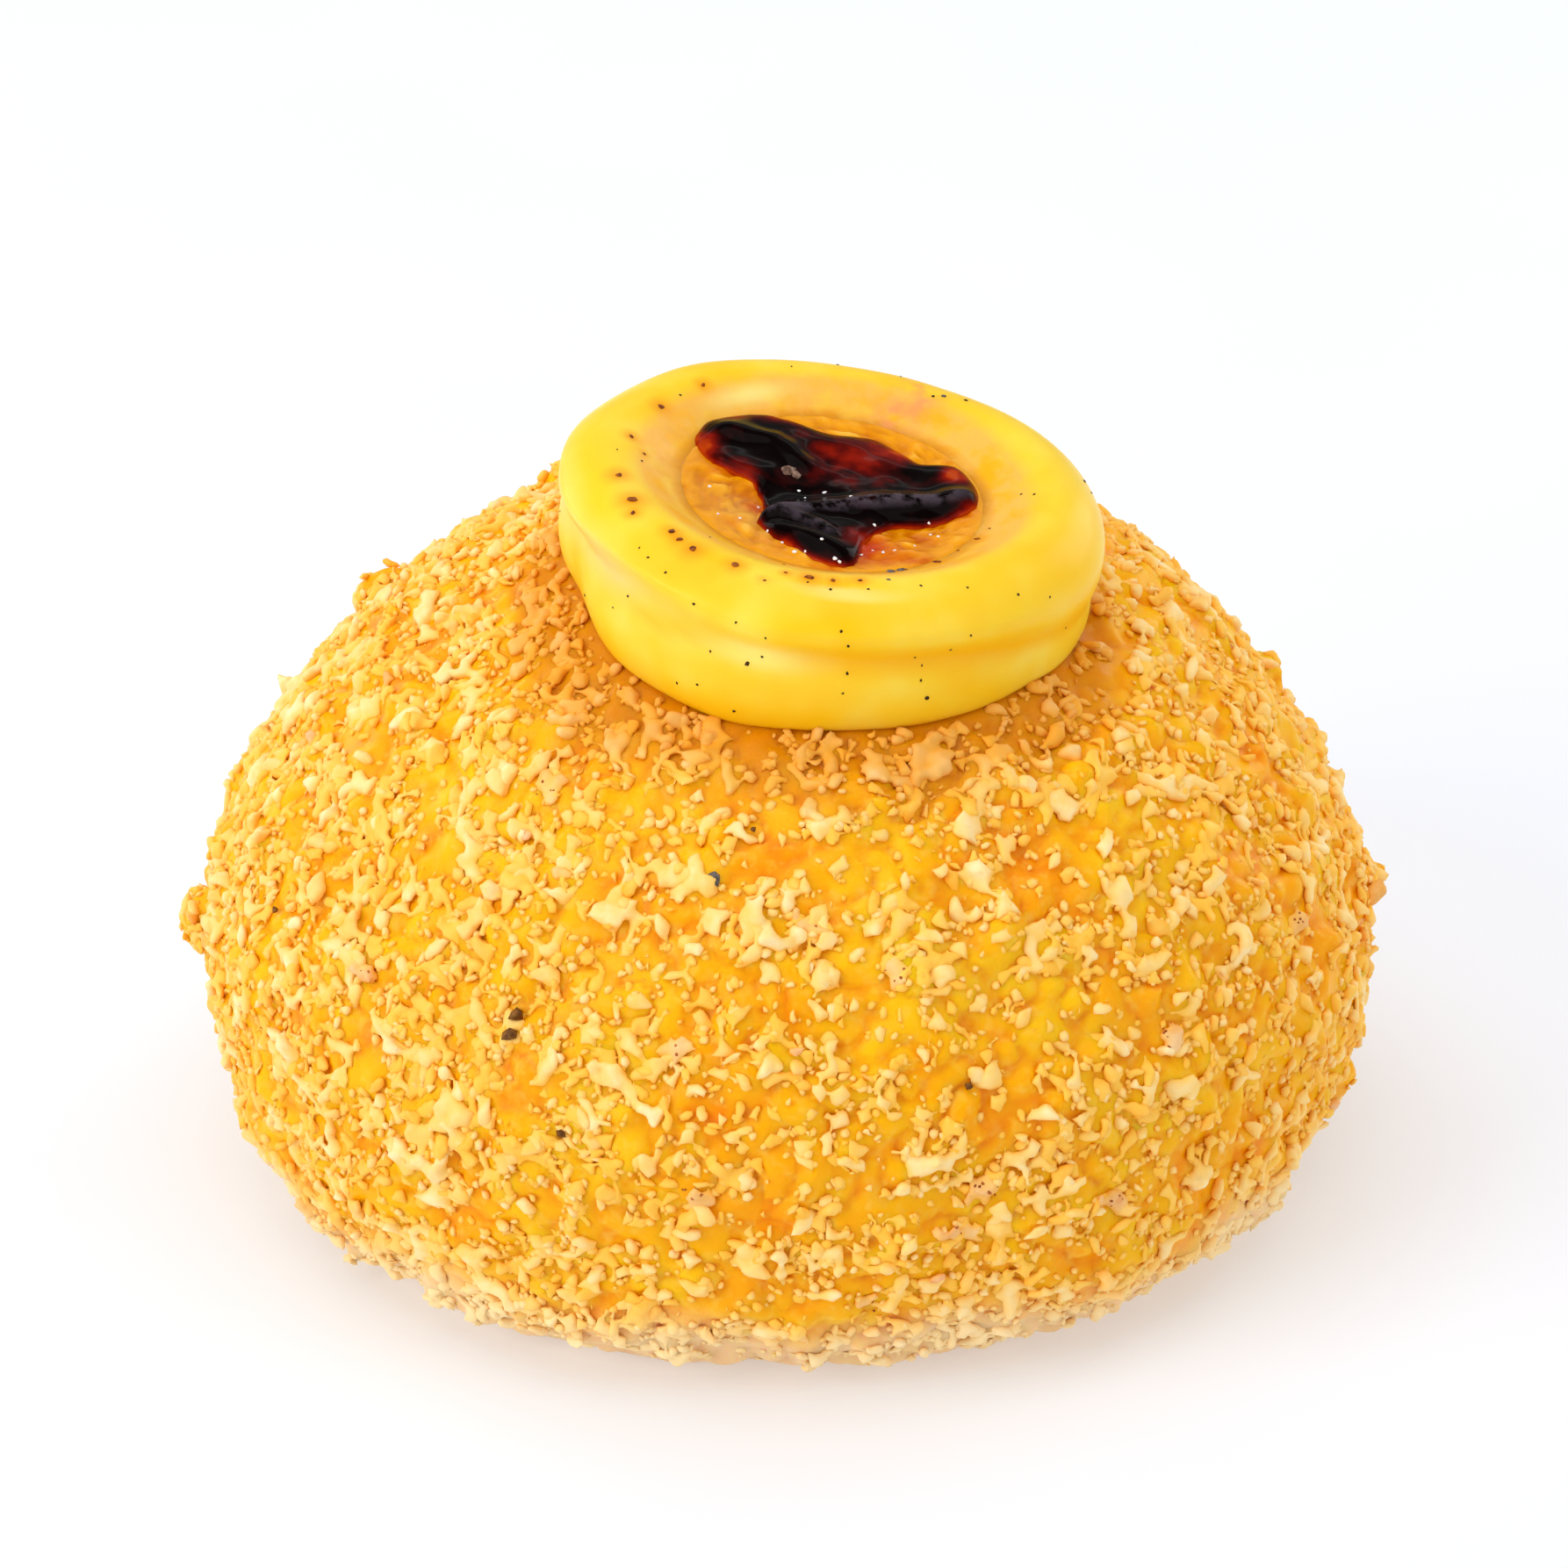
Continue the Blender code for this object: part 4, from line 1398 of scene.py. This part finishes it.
def crumb_finish(name, dark, middle, pale, tone):
    """Three tones, chosen by the stored tone of each copy or by noise on melted ones."""
    material, tree, shader = new_finish(name)
    if tone == "stored":
        base = ramp(tree, stored(tree, "tone"), [(0.0, dark), (0.45, middle), (1.0, pale)])
    else:
        base = ramp(tree, grain(tree, 2.2 * MM, 2), [(0.3, dark), (0.5, middle), (0.7, pale)])
    mottle = fit(tree, grain(tree, 0.7 * MM, 3, 0.6), 0.45, 0.7, 0.0, 0.5)
    color = blend(tree, mottle, base, pale)
    off_crust = fit(tree, stored(tree, "lift"), 0.05 * MM, 0.6 * MM, 0.15, 1.0)
    color = blend(tree, off_crust, "FFC43C", color)
    # painted shadow of the custard ring on the crumbs next to it
    color = lay(tree, color, "E8981C", stored(tree, "ring_shadow"), 0.0, 0.8, 0.7)
    color = lay(tree, color, "FFE4AC", stored(tree, "belt"), 0.0, 0.7, 0.85)
    surface(tree, shader, color, roughness=0.5, gloss=0.2)
    bump(tree, shader, grain(tree, 0.35 * MM, 2), 0.2, 0.06 * MM)
    return material


def finish_crumbs(piece, colors, tone):
    """Store what the finish asks for, paint the piece and hand it to the bun."""
    store_shares(piece, {"lift": crust_gap, "belt": belt_share, "ring_shadow": ring_shadow_share})
    piece.data.materials.append(crumb_finish(piece.name, *colors, tone))
    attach(piece, "root")


# %% Scatter the crumbs
DRAWS_PER_COPY = 4
KINDS = (
    # name, prototypes, copies, smallest, usual and largest size in mm, dark, middle and pale colour
    ("crumbs_cream", flakes, 4800, (0.6, 0.95, 2.3), ("FFCE70", "FFD988", "FFE8B0")),
    ("crumbs_straw", flakes, 4600, (0.6, 0.95, 2.1), ("FFC45C", "FFD074", "FFDC8E")),
    ("crumbs_golden", flakes, 4000, (0.7, 0.95, 2.0), ("FFB83A", "FFC44C", "FFD066")),
    ("crumbs_honey", flakes, 4000, (0.7, 0.95, 1.9), ("FFB22C", "FFC04A", "FFCE64")),
    ("crumbs_fine", grains, 8500, (0.35, 0.6, 1.0), ("FFC250", "FFD480", "FFE8B4")),
    ("crumbs_browned", flakes, 90, (1.0, 1.4, 2.0), ("F0A060", "F6B47C", "FCCA9A")),
)
for number, (name, shapes, copies, sizes, colors) in enumerate(KINDS):
    place, outward = keep_places(copies * DRAWS_PER_COPY, 31 + number, 0.3 * MM)
    lengths = [size * MM for size in sizes]
    piece = join_copies(name, shapes, place[:copies], outward[:copies], lengths, 41 + number)
    if shapes is flakes:
        melt_together(piece)
    finish_crumbs(piece, colors, "noise" if shapes is flakes else "stored")

# %% [markdown]
# ## Sugar beside the ring
#
# Next to the custard's foot the coat is mixed with small golden blocks of sugar, stacked in
# heaps over a crust that is darker there with painted shadow of the ring. They have bevelled
# edges, and the same tools place them, only with another rule for where they may lie.

# %% Sugar blocks
place, outward = keep_places(60000, 61, 0.25 * MM, beside_ring_share)
print("places for sugar:", len(place))
sugar = join_copies(
    "sugar_blocks", blocks, place[:420], outward[:420], [0.5 * MM, 0.9 * MM, 1.4 * MM], 62, tilt=0.9,
)
melt_together(sugar)
finish_crumbs(sugar, ("E8BC60", "F2CC7C", "FCE0A0"), "noise")

# %% [markdown]
# ## Specks, seeds and glints
#
# Vanilla seeds and burnt sugar lie on the custard, and a few dark seeds lie in the coat. Tiny
# white specks on the syrup and the amber are painted highlights that stand for glints. Each
# is a small flattened ball that is sunk half-way into what carries it. The line through a
# point of the picture finds the front ones. The back of the bun gets others at random, so
# that it looks the same from there.

# %% Place specks
VANILLA = (
    # pixel across and down
    (728, 624), (738, 635), (758, 652), (715, 679), (698, 692), (790, 688), (838, 709), (872, 727),
    (809, 742), (851, 756), (868, 748), (771, 778), (794, 780), (666, 678), (958, 719), (966, 736),
    (960, 790), (1042, 749), (1050, 758), (1049, 775), (1083, 740), (1106, 724), (1160, 677), (1196, 680),
    (1214, 715), (1244, 680), (836, 810), (1163, 563), (1178, 563), (703, 512), (731, 525), (775, 450),
    (809, 612), (1102, 669), (1049, 667), (920, 663), (989, 671), (1032, 649), (1127, 602), (946, 671),
)
VANILLA_SIZE = 0.26
VANILLA_LARGE_SIZE = 0.38
VANILLA_LARGE = ((918, 750), (965, 767), (1056, 795), (851, 756))
# the rest: pixel across and down, size in mm
GREY_SPECKS = ((1015, 651, 0.9), (1026, 649, 0.8), (1012, 660, 0.4), (1075, 451, 0.4), (813, 1000, 1.4))
SEEDS = (
    (590, 1155, 1.5), (585, 1180, 1.4), (640, 1290, 0.8), (1102, 1240, 0.7), (318, 1040, 0.7),
    (857, 948, 0.5),
)
SYRUP_CRUMB = ((898, 536, 1.5), (906, 541, 1.0))
# painted highlights on the syrup and the amber: pixel across and down, size in mm
GLINTS = (
    (910, 559, 0.35), (917, 567, 0.25), (939, 561, 0.4), (969, 565, 0.3), (996, 598, 0.4), (891, 618, 0.3),
    (905, 628, 0.4), (917, 628, 0.25), (951, 636, 0.45), (956, 640, 0.35), (874, 605, 0.3), (936, 614, 0.3),
    (1058, 596, 0.3), (1060, 609, 0.3), (1069, 611, 0.3), (1042, 622, 0.25), (1019, 627, 0.35),
    (1006, 629, 0.25), (994, 627, 0.25), (981, 632, 0.3), (808, 554, 0.35), (864, 578, 0.25),
    (818, 585, 0.25), (843, 590, 0.25),
)


def joined_tree(pieces):
    """One search tree over several pieces."""
    verts, faces = [], []
    for piece in pieces:
        start = len(verts)
        verts += [vertex.co.copy() for vertex in piece.data.vertices]
        faces += [[start + index for index in face.vertices] for face in piece.data.polygons]
    return BVHTree.FromPolygons(verts, faces)


def spot_arrays(spots):
    """The places, outward directions and sizes of some spots."""
    place, outward, sizes = zip(*spots)
    place, outward = (np.array([part[:] for part in parts]) for parts in (place, outward))
    return place, outward, np.array(sizes)


def make_specks(name, spots, flat, seed):
    """Small flattened balls, one for each (place, outward direction, size)."""
    place, outward, sizes = spot_arrays(spots)
    draw = np.random.default_rng(seed)
    spins = draw.uniform(0, math.tau, len(spots))
    turns = turn_matrices(outward, spins, np.zeros(len(spots)), np.zeros(len(spots)))
    verts, faces = [], []
    for index, size in enumerate(sizes):
        shape, corners = grains[index % len(grains)]
        shape = shape * size * np.array([1.0, draw.uniform(0.6, 1.0), flat])
        faces.append(corners + len(shape) * index)
        verts.append(shape @ turns[index].T + place[index])
    print(name, len(spots), "specks")
    return piece_from(name, np.concatenate(verts), np.concatenate(faces))


def speck_finish(name, dark, pale, roughness):
    """Two colours, mottled."""
    material, tree, shader = new_finish(name)
    color = ramp(tree, grain(tree, 0.4 * MM, 2), [(0.35, dark), (0.65, pale)])
    surface(tree, shader, color, roughness, gloss=0.15)
    return material


def finish_specks(piece, colors, roughness):
    """Paint the specks and hand them to the bun."""
    piece.data.materials.append(speck_finish(piece.name, *colors, roughness))
    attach(piece, "root")


def spots_at(tree, listed):
    """Places, directions and sizes in metres from (pixel, pixel, size in mm)."""
    found = [(*meet(tree, px, py), size * MM) for px, py, size in listed]
    return [spot for spot in found if spot[0] is not None]


def random_spots(piece, count, sizes, seed, allowed):
    """Spots drawn on a piece by area, of which only the allowed ones stay."""
    place, outward = surface_draws(piece, count, seed)
    draw = random.Random(seed)
    spots = [(Vector(a), Vector(b), draw.uniform(*sizes) * MM) for a, b in zip(place, outward)]
    return [spot for spot in spots if allowed(spot[0])]


def on_far_ring(place):
    """True on the open outside of the ring, where the picture doesn't show it."""
    radius, turn, height = ring_local(place)
    return radius > 14 * MM and height > -5 * MM and (turn > 10 or turn < -175) and place.y > -6 * MM


top_tree = joined_tree([ring, pool, syrup])
vanilla = spots_at(top_tree, [(px, py, VANILLA_SIZE) for px, py in VANILLA])
vanilla += spots_at(top_tree, [(px, py, VANILLA_LARGE_SIZE) for px, py in VANILLA_LARGE])
vanilla += random_spots(ring, 90, (0.2, 0.38), 71, on_far_ring)
grey = spots_at(joined_tree([ring, crust]), GREY_SPECKS)
specks = {
    # name: (spots, how flat, dark and pale colour, roughness, slot)
    "vanilla_specks": (vanilla, 0.5, ("2A1A08", "4A3010"), 0.5, "custard"),
    "burnt_specks": (spots_at(top_tree, BURNT), 0.35, ("642808", "A85A14"), 0.5, "custard"),
    "grey_specks": (grey, 0.4, ("4A4240", "7E746C"), 0.5, "custard"),
    "syrup_crumb": (spots_at(top_tree, SYRUP_CRUMB), 0.6, ("54382C", "9A7C6A"), 0.3, "dark_syrup"),
    # painted highlights: white specks that stand for glints
    "painted_glints": (spots_at(top_tree, GLINTS), 0.5, ("F4F6FA", "FFFFFF"), 0.08, "dark_syrup"),
}
for number, (name, (spots, flat, colors, roughness, slot)) in enumerate(specks.items()):
    finish_specks(make_specks(name, spots, flat, 80 + number), colors, roughness)

# %% [markdown]
# ## Dark seeds and large crumbs in the coat
#
# A few things stick out of the coat: round dark seeds, and larger tan crumbs that break the
# outline at the left and right. They are put on the crust in the same way, and a few more go
# round the back.

# %% Seeds and large crumbs
LARGE = (
    (216, 1035, 3.4), (240, 1075, 2.6), (1562, 1012, 2.2), (625, 557, 3.8), (468, 646, 2.6),
    (352, 1378, 2.2),
)
SEED_RISE = 0.4


def on_far_coat(place):
    """True on the back of the coat, which the picture doesn't show."""
    return place.y > 4 * MM and 5 * MM < place.z < 42 * MM


def melted_flakes(name, spots, sizes, seed, colors):
    """One finished piece of flakes that lie at chosen spots."""
    place, outward, _ = spot_arrays(spots)
    piece = join_copies(name, flakes, place, outward, [size * MM for size in sizes], seed)
    melt_together(piece)
    finish_crumbs(piece, colors, "noise")
    return piece


seeds = [
    (place + outward * SEED_RISE * MM, outward, size)
    for place, outward, size in spots_at(crust_tree, SEEDS)
]
seeds += random_spots(crust, 12, (0.7, 1.5), 91, on_far_coat)
finish_specks(make_specks("dark_seeds", seeds, 0.9, 92), ("5A3410", "8A5A20"), 0.4)
large = spots_at(crust_tree, LARGE) + random_spots(crust, 14, (1.8, 3.0), 93, on_far_coat)
melted_flakes("large_crumbs", large, (1.9, 2.5, 3.2), 94, ("E8A040", "F2B45A", "FCCB80"))

# %% [markdown]
# ## Toasted clusters
#
# In a few places the crumbs baked together and took on a tan colour, with tiny scorched
# grains on them. Each cluster is a handful of copies around one point of the photo. The
# grains are dropped on the finished cluster, so that they lie on top of it.

# %% Toasted clusters
CLUSTERS = (
    (1272, 1370), (765, 1200), (1480, 1050), (930, 1050), (1020, 1110), (1125, 1350), (991, 1480),
    (795, 1362), (1095, 1401), (1120, 1355), (420, 1110), (1330, 1180), (620, 900),
)
draw = random.Random(95)
spread = [
    (draw.gauss(x, 9), draw.gauss(y, 7), draw.uniform(0.9, 1.4))
    for x, y in CLUSTERS for _ in range(6)
]
clusters = melted_flakes(
    "toasted_clusters", spots_at(crust_tree, spread), (1.1, 1.4, 1.8), 96, ("E8A45C", "F2BA74", "FACE94"),
)
dots = [
    (draw.gauss(x, 8), draw.gauss(y, 6), draw.uniform(0.16, 0.32))
    for x, y in CLUSTERS for _ in range(5)
]
scorched = make_specks("scorched_grains", spots_at(joined_tree([crust, clusters]), dots), 0.7, 97)
finish_specks(scorched, ("8A3A14", "C47434"), 0.5)
